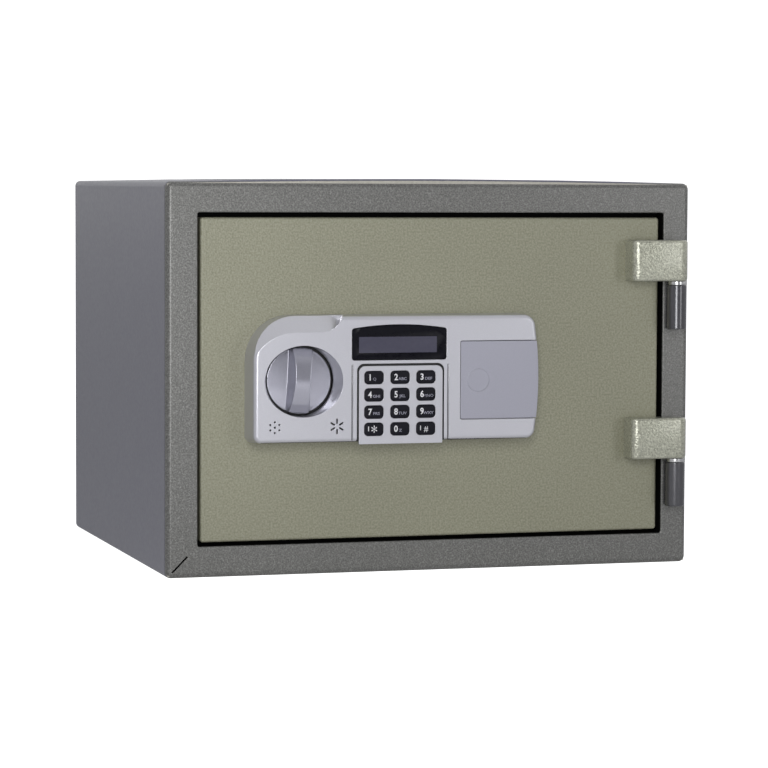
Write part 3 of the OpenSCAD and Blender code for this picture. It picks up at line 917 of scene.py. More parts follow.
@dataclass
class Cabinet(SubAssembly):
    """Frame, shell, lining and what is fixed to them."""

    body: str = "cabinet"
    sheet: float = 1.5
    flange_left: float = 25.4
    flange_right: float = 22.3
    flange_top: float = 24.0
    flange_bottom: float = 24.6
    frame_edge: float = 4.7
    seam: float = 0.7
    seam_depth: float = 1.7
    corner: float = 5.0
    outer_round: float = 4.5
    mitre: float = 0.55
    mitre_lift: float = 0.36
    mitre_reach: Tuple[float, float] = (1.5, 17.0)
    opening_corner: float = 1.6
    shell_round: float = 4.5
    crown: float = 2.7
    rebate: float = 16.0
    lip: Block = field(default_factory=lambda: Block(-183.5, 183.5, 16.0, 17.5, 34.0, 276.0))
    throat_right: float = 192.0
    cabin: Block = field(default_factory=lambda: Block(-156.0, 156.0, 76.5, 78.0, 58.0, 252.0))
    bolt_heights: Tuple[float, float] = (84.0, 226.0)
    bolt_depth: float = 37.0
    bolt_hole: float = 9.0
    anchor_places: Tuple[float, float] = (-100.0, 100.0)
    anchor_depth: float = 205.0
    anchor_radius: float = 6.0
    bow_rows: int = 15
    weld_inset: float = 9.0
    weld_radius: float = 2.6
    weld_rows: int = 7

    def opening(self, d0: float, d1: float, grow: float = 0.0) -> Block:
        """Gives the door opening between two depths.

        Args:
            d0: Front.
            d1: Back.
            grow: Millimetres added all round.

        Returns:
            The box of the opening.
        """
        whole = Block.of("front_frame")
        return Block(whole.x0 + self.flange_left - grow, whole.x1 - self.flange_right + grow, d0, d1,
                     whole.z0 + self.flange_bottom - grow, whole.z1 - self.flange_top + grow)

    def frame_face(self) -> Piece:
        """Makes the folded front of the frame.

        Returns:
            A hollow ring with round outer edges and a crisp opening.
        """
        whole = Block.of("front_frame")
        ring = rounded_box("front_frame_finished", whole.between(0, self.rebate), [self.corner] * 4, 6)
        round_over(ring, at_depth(0), self.outer_round, 6)
        cut(ring, rounded_box("opening", self.opening(-1, self.rebate + 1), [self.opening_corner] * 4, 4))
        edge = self.opening(0, 0, NEAR * 2)
        round_over(ring, lambda mid, way: close(mid.y, 0) and abs(way.y) < 0.5
                   and edge.x0 < mid.x < edge.x1 and edge.z0 < mid.z < edge.z1, 1.2, 3)
        hollow = rounded_box("hollow", whole.grown(-self.sheet, 0, -self.sheet)
                             .between(self.sheet, self.rebate + 1), [self.corner - self.sheet] * 4, 6)
        round_over(hollow, at_depth(self.sheet), self.outer_round - self.sheet, 4)
        cut(hollow, box("inner wall", self.opening(0, self.rebate + 2, self.sheet)))
        start, end = (Vector((whole.x0 + reach, -self.mitre_lift, whole.z0 + reach))
                      for reach in self.mitre_reach)
        mitre = rod("mitre seam", start, end, self.mitre, 16)
        trim = box("trim", whole.grown(2, 0, 2).between(self.frame_edge, self.rebate + 1))
        cut(trim, box("kept", self.opening(0, self.rebate + 2, self.sheet)))
        return cut(ring, hollow, trim, mitre)

    def frame_throat(self) -> List[Piece]:
        """Makes the stepped lining of the opening behind the frame's face.

        Returns:
            The lip, the throat with its bolt holes and the ring in front of the cabin.
        """
        sheet = self.sheet
        lip = box("lip", self.opening(self.rebate, self.rebate + sheet, sheet))
        cut(lip, box("mouth", self.lip.grown(0, 5, 0)))
        throat = Block(self.lip.x0, self.throat_right, self.rebate + sheet, self.cabin.d0,
                       self.lip.z0, self.lip.z1)
        wall = box("throat", throat.grown(sheet, 0, sheet))
        cut(wall, box("mouth", throat.grown(0, 5, 0)))
        for z in self.bolt_heights:
            x = throat.x0
            cut(wall, rod("bolt hole", Vector((x - 4, self.bolt_depth, z)),
                          Vector((x + 4, self.bolt_depth, z)), self.bolt_hole))
        end = box("end", throat.grown(sheet, 0, sheet).between(self.cabin.d0, self.cabin.d1))
        cut(end, box("mouth", self.cabin.grown(0, 5, 0)))
        return [lip, wall, end]

    def shell(self) -> List[Piece]:
        """Makes the wrapped sheet of the cabinet and the narrow joggle that goes behind the frame.

        Returns:
            The shell, open at the front and the back, and its joggle.
        """
        whole = Block.of("outer_shell")
        whole = replace(whole, z1=whole.z1 - self.crown)
        front = self.frame_edge + self.seam
        skins = []
        for inset, d0, d1 in ((0.0, front, whole.d1), (self.seam_depth, 2.0, front + 2)):
            skin = rounded_box("outer_shell_finished",
                               whole.grown(-inset, 0, -inset).between(d0, d1),
                               [self.shell_round - inset / 2] * 4, 6)
            corner = self.shell_round
            bowed(skin, 2, whole.z1 - inset, 0, (whole.x0 + corner, whole.x1 - corner), self.crown,
                  self.bow_rows)
            with editing(skin):
                choose(skin, "FACE", lambda mid, way: abs(way.y) > 0.9)
                bpy.ops.mesh.delete(type="FACE")
            only(skin)
            wall = skin.modifiers.new("sheet", "SOLIDIFY")
            wall.thickness = self.sheet * MM
            wall.offset = -1
            bpy.ops.object.modifier_apply(modifier=wall.name)
            for x in self.anchor_places if not inset else ():
                cut(skin, rod("anchor hole", Vector((x, self.anchor_depth, -5)),
                              Vector((x, self.anchor_depth, 5)), self.anchor_radius))
            skins.append(skin)
        return skins

    def rebate_painted_shade(self, ring: Piece) -> Piece:
        """Paints the step that the door closes into black, as painted shade for the deep gap round the door.

        Args:
            ring: The whole frame.

        Returns:
            The frame.
        """
        ring.data.materials.append(FRAME_PAINT.material())
        ring.data.materials.append(SEAL_STRIP_AND_REBATE_SHADE.material())
        # painted shade: the rebate's faces take the black strip finish so that the door gap reads dark
        step = self.opening(1.2, self.rebate + self.sheet + NEAR, 0.3)
        with editing(ring):
            choose(ring, "FACE", lambda mid, way: step.d0 < mid.y < step.d1
                   and step.x0 < mid.x < step.x1 and step.z0 < mid.z < step.z1)
            ring.active_material_index = 1
            bpy.ops.object.material_slot_assign()
        return ring

    def back(self) -> Piece:
        """Makes the back panel, let into the shell and spot welded.

        Returns:
            The panel.
        """
        size = Block.of("back_panel")
        size = replace(size, z1=size.z1 - self.crown)
        corner = self.shell_round
        panel = rounded_box("back_panel_finished", size, [corner] * 4, 6)
        bowed(panel, 2, size.z1, 0, (size.x0 + corner, size.x1 - corner), self.crown, self.bow_rows)
        round_over(panel, at_depth(size.d1), 0.7, 3)
        edge = self.weld_inset
        for i in range(self.weld_rows):
            share = (i + 0.5) / self.weld_rows
            x = size.x0 + (size.x1 - size.x0) * share
            z = size.z0 + (size.z1 - size.z0) * share
            for weld in ((x, size.z0 + edge), (x, size.z1 - edge), (size.x0 + edge, z), (size.x1 - edge, z)):
                cut(panel, through("weld", *weld, self.weld_radius, size.d1 - 0.25, size.d1 + 2, 20))
        return panel

    def build(self) -> None:
        """Builds the cabinet."""
        parts = [soften(tidy(part), 0.25) for part in (self.frame_face(), *self.frame_throat())]
        ring = self.rebate_painted_shade(gather("front_frame_finished", parts))
        self.fit(ring, FRAME_PAINT, "frame_paint", "front_frame")
        self.fit(gather("outer_shell_finished", [soften(tidy(skin), 0.3) for skin in self.shell()]),
                 SHELL_PAINT, "shell_paint", "outer_shell")
        self.fit(smooth(tidy(self.back())), SHELL_PAINT, "shell_paint", "back_panel")
        self.softened("inner_liner", LINER_PAINT, "liner_paint", 0.5)
        self.softened("floor_mat", FELT, "felt", 0.8)
        self.softened("bolt_keeper", ZINC, "zinc_steel", 0.4)
        self.softened("door_seal", SEAL_STRIP_AND_REBATE_SHADE, "seal_strip", 0.4)
        self.paint(FIRE_FILL, "body_insulation")
        self.paint(ZINC, "anchor_sleeves")


@dataclass
class Hinges(SubAssembly):
    """Two block hinges: the blocks go with the door, barrels, pins and washers with the cabinet."""

    body: str = "cabinet"
    axis_x: float = 203.3
    axis_d: float = -11.0
    half: float = 8.5
    left_round: float = 6.5
    end_break: float = 2.2
    pin_hole: float = 4.05
    pin_hole_depth: float = 26.0

    def block(self, node: str) -> Piece:
        """Makes a hinge block with a round-edged left end and a knuckle at the right.

        Args:
            node: CAD node that it stands for.

        Returns:
            The block.
        """
        size = Block.of(node)
        front, back = self.axis_d - self.half, self.axis_d + self.half
        body = box(node + "_finished", size.between(front, back))
        round_over(body, along(2, (0, size.x0), (1, front)), self.left_round, 8)
        for d in (front, back):
            round_over(body, along(2, (0, size.x1), (1, d)), self.half - NEAR, 12)
        for z in (size.z0, size.z1):
            round_over(body, lambda mid, way, level=z: close(mid.z, level) and mid.y < back - 1,
                       self.end_break, 4)
        door = Block.of("door_skin")
        foot = Block(size.x0 + 0.3, door.x1 - 1.0, back - 0.4, size.d1, size.z0 + 0.6, size.z1 - 0.6)
        combine(body, box("foot", foot), "UNION")
        cut(body, rod("pin hole", Vector((self.axis_x, self.axis_d, size.z0 - 1)),
                      Vector((self.axis_x, self.axis_d, size.z0 + self.pin_hole_depth)), self.pin_hole))
        return body

    def build(self) -> None:
        """Builds both hinges."""
        for side in ("upper", "lower"):
            block = smooth(tidy(self.block(side + "_hinge_block"), 0.2), 30)
            self.fit(block, HINGE_PAINT, "hinge_paint", side + "_hinge_block", body="door")
            self.softened(side + "_hinge_barrel", BARREL_PAINT, "frame_paint", 0.9, 3)
        self.softened("hinge_washers", GROUND_STEEL, "bright_steel", 0.3)
        self.paint(GROUND_STEEL, "hinge_pins")


@dataclass
class Door(SubAssembly):
    """Door leaf with its filling, its boltwork case and its stepped plug."""

    body: str = "door"
    sheet: float = 1.5
    edge_round: float = 2.0
    corner: float = 2.3
    cable: Tuple[float, float] = (-35.0, 130.0)
    panel_screws: Tuple[Tuple[float, float], ...] = ((-82, 112), (-82, 198), (9.5, 112), (9.5, 197))
    spindle_hole: float = 7.05
    cable_hole: float = 4.0
    screw_hole: float = 1.7

    def skin(self) -> Piece:
        """Makes the folded front sheet of the door.

        Returns:
            A shallow tray with round front edges, holed for the lock.
        """
        size = Block.of("door_skin")
        tray = rounded_box("door_skin_finished", size, [self.corner] * 4, 5)
        round_over(tray, at_depth(size.d0), self.edge_round, 5)
        cut(tray, box("hollow", size.grown(-self.sheet, 0, -self.sheet).between(size.d0 + 2, size.d1 + 1)))
        holes = [(*KNOB_MIDDLE, self.spindle_hole), (*self.cable, self.cable_hole)]
        holes += [(*place, self.screw_hole) for place in self.panel_screws]
        for x, z, radius in holes:
            cut(tray, through("hole", x, z, radius, size.d0 - 1, size.d0 + 3, 32))
        return tray

    def screws(self) -> Piece:
        """Makes the pan-head screws of the inner cover with their cross recesses.

        Returns:
            The four screws as one piece.
        """
        screws = soften(copy_of("cover_screws"), 0.5, 3)
        back = Block.of("cover_screws").d1
        case = Block.of("boltwork_case")
        for x in (case.x0 + 5, case.x1 - 10):
            for z in (case.z0 + 30, case.z1 - 30):
                for w, h in ((2.0, 0.4), (0.4, 2.0)):
                    cut(screws, box("recess", Block(x - w, x + w, back - 0.9, back + 1, z - h, z + h)))
        return smooth(screws)

    def build(self) -> None:
        """Builds the door leaf."""
        self.fit(soften(tidy(self.skin()), 0.3), DOOR_PAINT, "door_paint", "door_skin")
        self.softened("boltwork_case", ZINC, "zinc_steel", 0.4)
        self.softened("door_inner_cover", LINER_PAINT, "liner_paint", 0.4)
        self.fit(self.screws(), GROUND_STEEL, "bright_steel", "cover_screws")
        self.softened("bolt_guides", BRASS, "brass", 0.5)
        self.softened("dead_bar", GROUND_STEEL, "bright_steel", 0.9, 3)
        self.paint(FIRE_FILL, "door_insulation", "plug_insulation")
        self.paint(GROUND_STEEL, "guide_posts")
        self.paint(COIL_TAPE, "solenoid")
        self.paint(ZINC, "plunger_spring", "panel_screws")
        self.paint(CABLE_SLEEVE, "lock_cable")
        self.paint(BRASS, "knob_bushing")


@dataclass
class LockPanel(SubAssembly):
    """Silver housing with the knob's bowl, the display, the keypad and the battery bay.

    The walls are the thicknesses at the left, right, front, bottom and top.
    """

    body: str = "door"
    face: float = -23.0
    base: Block = field(default_factory=lambda: Block(-155.0, 79.6, -23.0, 0.5, 105.5, 206.0))
    front_left: float = 2.0
    front_right: float = 1.2
    front_bottom: float = 1.2
    front_top: float = 0.8
    walls: Tuple[float, float, float, float, float] = (5.6, 2.2, 2.5, 3.2, 3.0)
    room_corners: Tuple[float, float, float, float] = (4.0, 5.0, 7.0, 34.0)
    bow: float = 2.9
    corners: Tuple[float, float, float, float] = (6.0, 8.0, 10.0, 36.0)
    edge_round: float = 3.2
    bowl_half_height: float = 28.0
    bowl_half_widths: Tuple[Tuple[float, float], ...] = (
        (-24.0, 32.0), (-23.0, 31.8), (-20.5, 31.2), (-18.0, 30.2), (-15.5, 29.3), (-13.0, 28.5),
        (-10.5, 27.9), (-8.0, 27.5), (-3.6, 27.4))
    well_halves: Tuple[float, float] = (34.4, 30.4)
    scoop_middle: Tuple[float, float] = (-118.5, 153.0)
    scoop_radius: float = 40.0
    scoop_slope: float = 0.8
    scoop_arc: Tuple[float, float] = (146.0, 90.0)
    scoop_steps: int = 12
    scoop_end: Tuple[Tuple[float, float, float, float], ...] = (
        (-92.5, 193.4, 0.35, 0.9), (-89.0, 195.2, 0.45, 0.55), (-86.0, 198.0, 0.4, 0.3),
        (-83.6, 201.3, 0.35, 0.2), (-81.8, 205.0, 0.3, 0.1))
    window: Block = field(default_factory=lambda: Block(-73.9, 3.3, -23.0, -20.6, 170.8, 195.4))
    window_bow: float = 2.8
    window_corner: float = 1.8
    groove_depth: float = 1.4
    groove_half: float = 0.7
    groove_top: float = 167.2
    bay_depth: float = 2.35
    lcd: Block = field(default_factory=lambda: Block(-68.4, -4.5, -23.0, -20.6, 176.3, 188.9))
    pad: Block = field(default_factory=lambda: Block(-68.4, 0.2, -23.6, -21.2, 104.6, 166.0))
    bay: Block = field(default_factory=lambda: Block(15.7, 79.6, -23.0, -21.0, 123.1, 184.6))
    key_middle: Tuple[float, float] = (-34.9, 136.55)
    key_pitch: Tuple[float, float] = (21.35, 13.57)
    key_size: Tuple[float, float] = (15.3, 10.0)
    key_front: float = -24.4
    lid_inset: float = 2.9
    lip_inset: float = 1.5
    lip_thickness: float = 1.6
    thumb: Tuple[float, float] = (30.2, 153.7)
    thumb_radii: Tuple[float, float] = (8.8, 9.4)
    grooves: Tuple[float, float] = (-73.6, 5.2)
    buzzer: Tuple[float, float] = (-136.4, 118.9)
    buzzer_ring: float = 4.2
    sound_hole: float = 0.8
    mark: Tuple[float, float] = (-86.1, 119.0)

    def bowl(self) -> Piece:
        """Makes the tool that cuts the knob's bowl.

        Returns:
            An oval that narrows towards a circle as it goes in.
        """
        return loft("bowl", [(d, oval(KNOB_MIDDLE, half, self.bowl_half_height, 72))
                             for d, half in self.bowl_half_widths])

    def scoop(self) -> Piece:
        """Makes the tool that slopes the upper left corner away from the bowl.

        Returns:
            A solid whose inner side is the slope.
        """
        start, end = self.scoop_arc
        ridge, ways = [], []
        for i in range(self.scoop_steps + 1):
            turn = math.radians(start + (end - start) * i / self.scoop_steps)
            way = Vector((math.cos(turn), math.sin(turn)))
            ridge.append(Vector(self.scoop_middle) + way * self.scoop_radius)
            ways.append(way / self.scoop_slope)
        ridge.append(Vector((-97.0, self.scoop_middle[1] + self.scoop_radius)))
        ways.append(Vector((0, 1)) / self.scoop_slope)
        for x, z, across, up in self.scoop_end:
            ridge.append(Vector((x, z)))
            ways.append(Vector((across, up)))
        far = [(-78.0, 226.0), (-185.0, 226.0), (-185.0, 172.0)]
        sections = []
        for d in (self.face - 2.0, self.face + 13.0):
            rim = [(p + w * (d - self.face)).to_tuple() for p, w in zip(ridge, ways)]
            sections.append((d, rim + far))
        return loft("scoop", sections)

    def housing(self) -> Piece:
        """Makes the moulded housing.

        Returns:
            A hollow drafted cover with all its recesses.
        """
        size = self.base
        body = rounded_box("panel_housing_finished", size, self.corners, 12)
        span = (size.z0 + self.corners[1], size.z1 - self.corners[2])
        bowed(body, 0, size.x1, 2, span, self.bow)
        with editing(body):
            choose(body, "FACE", facing(1, -1, size.d0))
            width, height = size.x1 + self.bow - size.x0, size.z1 - size.z0
            x_share = 1 - (self.front_left + self.front_right) / width
            z_share = 1 - (self.front_top + self.front_bottom) / height
            middle = spot((size.x0 + size.x1 + self.bow) / 2, size.d0, (size.z0 + size.z1) / 2)
            bpy.ops.transform.resize(value=(x_share, 1, z_share), center_override=middle)
            bpy.ops.transform.translate(value=Vector((self.front_left - self.front_right, 0,
                                                      self.front_bottom - self.front_top)) * MM / 2)
        round_over(body, at_depth(size.d0), self.edge_round, 6)
        cut(body, self.scoop())
        left, right, front, bottom, top = self.walls
        room = Block(size.x0 + left, size.x1 - right, self.face + front, size.d1 + 1,
                     size.z0 + bottom, size.z1 - top)
        inner = rounded_box("inside", room, self.room_corners, 8)
        cut(inner, through("corner kept", -140.0, 195.0, 22.0, -30, 2))
        cut(inner, box("slope kept", Block(-160, -78, -30, -9, 187.5, 210)))
        cut(inner, self.well())
        cut(body, inner, self.bowl())
        cut(body, through("bushing room", *KNOB_MIDDLE, 9.5, -4.0, 1.5))
        self.cut_recesses(body)
        return body

    def well(self) -> Piece:
        """Makes the wall of the bowl, which the inside leaves standing.

        Returns:
            An oval column.
        """
        points = oval(KNOB_MIDDLE, *self.well_halves, 48)
        return loft("well", [(-30.0, points), (-1.5, points)])

    def arch(self, name: str, size: Block, grow: float) -> Piece:
        """Makes a block with a curved top, for the window or its recess.

        Args:
            name: Name of the piece.
            size: Its box without the curve.
            grow: Millimetres added all round the outline.

        Returns:
            The block.
        """
        wide = size.grown(grow, 0, grow)
        piece = rounded_box(name, wide, [self.window_corner + grow] * 4, 4)
        span = (wide.x0 + self.window_corner + grow, wide.x1 - self.window_corner - grow)
        return bowed(piece, 2, wide.z1, 0, span, self.window_bow, 13)

    def cut_recesses(self, body: Piece) -> None:
        """Cuts the window, keypad, bay, grooves and sound holes into the housing.

        What is cut starts ahead of the face, and what is open at a side goes beyond it.

        Args:
            body: The housing.
        """
        face, ahead, beyond = self.face, self.face - 3, 95.0
        cut(body, self.arch("window recess", self.window.between(ahead, face + 3), 0.35))
        pad = self.pad.grown(1.5, 0, 1.8)
        cut(body, rounded_box("pad recess", Block(pad.x0, pad.x1, ahead, face + 2.2, beyond, pad.z1),
                              [0, 0, 5.7, 5.7]))
        cut(body, box("key room", Block(self.pad.x0 + 2.4, self.pad.x1 - 2.4, ahead, face + 3.2,
                                        self.pad.z0 + 4, self.pad.z1 - 2.2)))
        cut(body, rounded_box("bay recess", Block(self.bay.x0 - 0.6, beyond, ahead, face + self.bay_depth,
                                                  self.bay.z0 - 0.6, self.bay.z1 + 0.6), [1.6, 0, 0, 1.6]))
        cut(body, box("bay", Block(self.bay.x0 + 2.5, self.base.x1 - 1, ahead, face + 4,
                                   self.bay.z0 + 1.5, self.bay.z1 - 1.5)))
        cut(body, box("bay side", Block(self.base.x1 - 4.5, beyond, ahead, face + 11.2,
                                        self.bay.z0 - 0.6, self.bay.z1 + 0.6)))
        for x in self.grooves:
            groove = Block(x - self.groove_half, x + self.groove_half, ahead, face + self.groove_depth,
                           beyond, self.groove_top)
            cut(body, rounded_box("groove", groove, [0, 0, 0.6, 0.6], 3))
        cut(body, through("sound hole", *self.buzzer, self.sound_hole, face - 2, face + 3, 16))
        for i in range(6):
            turn = math.radians(60 * i)
            x = self.buzzer[0] + self.buzzer_ring * math.sin(turn)
            z = self.buzzer[1] + self.buzzer_ring * math.cos(turn)
            cut(body, through("sound hole", x, z, self.sound_hole, face - 2, face + 3, 16))
            slot = rounded_box("slot", Block(self.mark[0] - 0.6, self.mark[0] + 0.6, face - 2, face + 3,
                                             self.mark[1] + 2, self.mark[1] + 6), [0.5] * 4, 3)
            with editing(slot):
                bpy.ops.mesh.select_all(action="SELECT")
                bpy.ops.transform.rotate(value=turn, orient_axis="Y",
                                         center_override=spot(self.mark[0], face, self.mark[1]))
            cut(body, slot)

    def display(self) -> Piece:
        """Makes the acrylic window with the unlit display behind it.

        Returns:
            The window, its front split so that the display shows.
        """
        face = self.face
        pane = self.arch("display_window_finished", self.window.between(face + 0.25, face + 2.4), 0.0)
        soften(pane, 0.3, 2)
        pane.data.materials.append(WINDOW.material())
        pane.data.materials.append(LCD.material())
        with editing(pane):
            for axis, value in ((0, self.lcd.x0), (0, self.lcd.x1), (2, self.lcd.z0), (2, self.lcd.z1)):
                choose(pane, "FACE", facing(1, -1, face + 0.25))
                normal, point = Vector((0, 0, 0)), Vector((0, face, 0))
                normal[axis] = 1
                point[axis] = value
                bpy.ops.mesh.bisect(plane_co=spot(*point), plane_no=normal)
            room = self.lcd
            choose(pane, "FACE", lambda mid, way: way.y < -0.99 and room.x0 < mid.x < room.x1
                   and room.z0 < mid.z < room.z1)
            pane.active_material_index = 1
            bpy.ops.object.material_slot_assign()
        return pane

    def key_places(self) -> List[Tuple[str, float, float]]:
        """Lists the keys.

        Returns:
            Name and middle of each key, row by row.
        """
        names = ("1", "2", "3", "4", "5", "6", "7", "8", "9", "star", "0", "hash")
        places = []
        for i, name in enumerate(names):
            x = self.key_middle[0] + (i % 3 - 1) * self.key_pitch[0]
            z = self.key_middle[1] - (i // 3 - 1.5) * self.key_pitch[1]
            places.append((name, x, z))
        return places

    def key_block(self, x: float, z: float, grow: float, d0: float, d1: float, radius: float) -> Piece:
        """Makes a round-cornered block the size of a key.

        Args:
            x: Middle across.
            z: Middle up.
            grow: Millimetres added all round.
            d0: Front.
            d1: Back.
            radius: Corner radius.

        Returns:
            The block.
        """
        w, h = self.key_size[0] / 2 + grow, self.key_size[1] / 2 + grow
        return rounded_box("key", Block(x - w, x + w, d0, d1, z - h, z + h), [radius] * 4, 6)

    def keypad(self) -> Piece:
        """Makes the keypad's plate, which laps over the lower edge of the housing.

        Returns:
            The plate with a hole for each key.
        """
        plate = rounded_box("keypad_plate_finished", self.pad, [0, 0, 5, 5])
        lip = box("lip", Block(self.pad.x0 + 0.8, self.pad.x1 - 0.8, self.pad.d0 + 1, -17.0,
                               self.pad.z0 + 0.3, self.pad.z0 + 1.4))
        combine(plate, lip, "UNION")
        for _, x, z in self.key_places():
            cut(plate, self.key_block(x, z, 0.3, -30, -15, 3.2))
        return plate

    def legend(self, name: str, x: float, z: float) -> Piece:
        """Prints a key's figure and letters.

        Args:
            name: Name of the key.
            x: Middle of the key across.
            z: Middle of the key up.

        Returns:
            The print as one thin piece.
        """
        big = {"star": "*", "hash": "#"}.get(name, name)
        small = KEY_LETTERS.get(name, "")
        plain = name.isdigit()
        prints = []
        figure = {"*": (13.0, 0.0, -2.4, 0.0), "#": (6.6, 0.0, -0.4, 0.0)}.get(big, (6.9, -3.5, 0.0, 0.16))
        for text, (size, dx, dz, weight), width, finish in (
                (big, figure, 0.9, INK_WHITE),
                (small, (3.1, 1.8 if len(small) > 1 else 0.2, -1.2,
                         -0.01 if small in NARROW_LETTERS else 0.05), 1.15, INK_GREY),
                ("" if plain else "I", (5.0, -4.6, 0.3, 0.12), 0.9, INK_WHITE)):
            if not text:
                continue
            bpy.ops.object.select_all(action="DESELECT")
            bpy.ops.object.text_add(location=spot(x + dx, self.key_front - 0.02, z + dz),
                                    rotation=(math.pi / 2, 0, 0))
            words = bpy.context.active_object
            words.data.body = text
            words.data.size = size * MM
            words.data.offset = weight * MM
            words.data.extrude = 0.03 * MM
            words.data.align_x = "CENTER"
            words.data.align_y = "CENTER"
            words.data.resolution_u = 4
            words.scale = (width, 1, 1)
            bpy.ops.object.convert(target="MESH")
            printed = tidy(settled("legend"), 0)
            printed.data.materials.clear()
            printed.data.materials.append(finish.material())
            prints.append(printed)
        return gather("key_" + name + "_legend", prints)

    def keys(self) -> None:
        """Makes the key caps and their legends."""
        _, x0, z0 = self.key_places()[0]
        cap = self.key_block(x0, z0, 0.0, self.key_front, self.face + 2.1, 3.0)
        round_over(cap, at_depth(self.key_front), 0.7, 4)
        flange = self.key_block(x0, z0, 0.9, self.face + 2.1, self.face + 3.3, 3.6)
        cap = smooth(gather("key_1_cap_finished", [cap, flange]), 40)
        for name, x, z in self.key_places():
            node = "key_" + name
            twin = copied(cap, node + "_finished", Vector((x - x0, 0, z - z0)))
            self.fit(twin, KEY_BLACK, "key_black", node, body=node + "_cap")
            self.fit(self.legend(name, x, z), INK_WHITE, "key_black", body=node + "_cap")
        bpy.data.objects.remove(cap)

    def cover(self) -> Piece:
        """Makes the sliding battery cover with its thumb dish.

        Returns:
            The cover.
        """
        lid_end = self.base.x1 - self.lid_inset
        lip_out = self.base.x1 - self.lip_inset
        lip_in = lip_out - self.lip_thickness
        lid = rounded_box("battery_cover_finished",
                          replace(self.bay, x1=lid_end, d0=self.face + 0.65, d1=self.face + 2.0),
                          [1.2, 0, 0, 1.2], 4)
        base = (self.base.z0 + self.corners[1], self.base.z1 - self.corners[2])
        middle, half = sum(base) / 2, (base[1] - base[0]) / 2
        lip = box("lip", replace(self.bay, x0=lip_in, x1=lip_out, d0=self.face + 1.2, d1=self.face + 11.0))
        for piece, place in ((lid, lid_end), (lip, lip_out), (lip, lip_in)):
            self.follow_bow(piece, place, middle, half)
        combine(lid, lip, "UNION")
        sections = [(self.face + d, oval(self.thumb, radius, radius, 64))
                    for d, radius in ((0.08, self.thumb_radii[0]), (0.8, self.thumb_radii[1]))]
        combine(lid, loft("thumb boss", sections), "UNION")
        return lid

    def follow_bow(self, piece: Piece, place: float, middle: float, half: float) -> None:
        """Curves the right side of a part of the cover like the housing's side.

        Args:
            piece: The part.
            place: Where its side lies across.
            middle: Height of the curve's middle.
            half: Half of the curve's span.
        """
        with editing(piece):
            long_edge = 40 * MM
            bpy.ops.mesh.select_mode(type="EDGE")
            mesh = bmesh.from_edit_mesh(piece.data)
            for edge in mesh.edges:
                ends = [drawn(v.co) for v in edge.verts]
                edge.select_set(all(close(e.x, place) for e in ends) and edge.calc_length() > long_edge)
            mesh.select_flush_mode()
            bpy.ops.mesh.subdivide(number_cuts=7)
            mesh = bmesh.from_edit_mesh(piece.data)
            levels = sorted({round(drawn(v.co).z, 2) for v in mesh.verts if close(drawn(v.co).x, place)})
            for level in levels:
                choose(piece, "VERT", lambda mid, way, a=level: close(mid.x, place) and close(mid.z, a))
                lift = self.bow * (1 - ((level - middle) / half) ** 2)
                bpy.ops.transform.translate(value=Vector((lift, 0, 0)) * MM)

    def gap_painted_shade(self, housing: Piece) -> Piece:
        """Paints the floors of the deep gaps round the knob, the keypad, the grooves and the battery bay black,
        as painted shade.

        Args:
            housing: The finished housing.

        Returns:
            The housing.
        """
        housing.data.materials.append(PANEL_SILVER.material())
        housing.data.materials.append(BLACK_ABS_AND_GAP_SHADE.material())
        pad = self.pad.grown(2.0, 0, 2.4)
        with editing(housing):
            # painted shade: the deep floor of the bowl round the knob is painted black
            choose(housing, "FACE", lambda mid, way: -7.6 < mid.y < -1
                   and math.hypot(mid.x - KNOB_MIDDLE[0], mid.z - KNOB_MIDDLE[1]) < 29.5)
            housing.active_material_index = 1
            bpy.ops.object.material_slot_assign()
            # painted shade: the floor of the keypad recess is painted black
            choose(housing, "FACE", lambda mid, way: self.face + 0.5 < mid.y < self.face + 2.4
                   and pad.x0 < mid.x < pad.x1 and mid.z < pad.z1)
            bpy.ops.object.material_slot_assign()
            # painted shade: the floors of the grooves and of the battery bay's gap are painted black
            choose(housing, "FACE", lambda mid, way: way.y < -0.9 and (
                close(mid.y, self.face + self.groove_depth) or close(mid.y, self.face + self.bay_depth)))
            bpy.ops.object.material_slot_assign()
        return housing

    def build(self) -> None:
        """Builds the lock panel."""
        housing = self.gap_painted_shade(soften(tidy(self.housing()), 0.3))
        self.fit(housing, PANEL_SILVER, "panel_silver", "panel_housing")
        self.fit(self.display(), WINDOW, "window_dark", "display_window")
        self.fit(soften(tidy(self.keypad()), 0.22), PANEL_SILVER, "panel_silver", "keypad_plate")
        self.keys()
        self.fit(soften(tidy(self.cover()), 0.25), COVER_SILVER, "cover_silver", "battery_cover",
                 body="battery_lid")
        self.paint(LCD, "lcd_module")
        self.paint(BOARD, "keypad_board")
        self.softened("battery_holder", BLACK_ABS_AND_GAP_SHADE, "black_plastic", 0.3)
        self.softened("battery_contacts", GROUND_STEEL, "bright_steel", 0.15)
        self.cells()
        self.paint(BLACK_ABS_AND_GAP_SHADE, "buzzer")

    def cells(self) -> None:
        """Makes the four cells with their sleeves and bare ends."""
        cells = soften(copy_of("batteries"), 0.5, 3)
        size = Block.of("batteries")
        cells.data.materials.append(CELL_WRAP.material())
        cells.data.materials.append(GROUND_STEEL.material())
        with editing(cells):
            choose(cells, "FACE", lambda mid, way: mid.x < size.x0 + 0.8 or mid.x > size.x1 - 1.8)
            cells.active_material_index = 1
            bpy.ops.object.material_slot_assign()
        self.fit(cells, CELL_WRAP, "cell_wrap", "batteries")


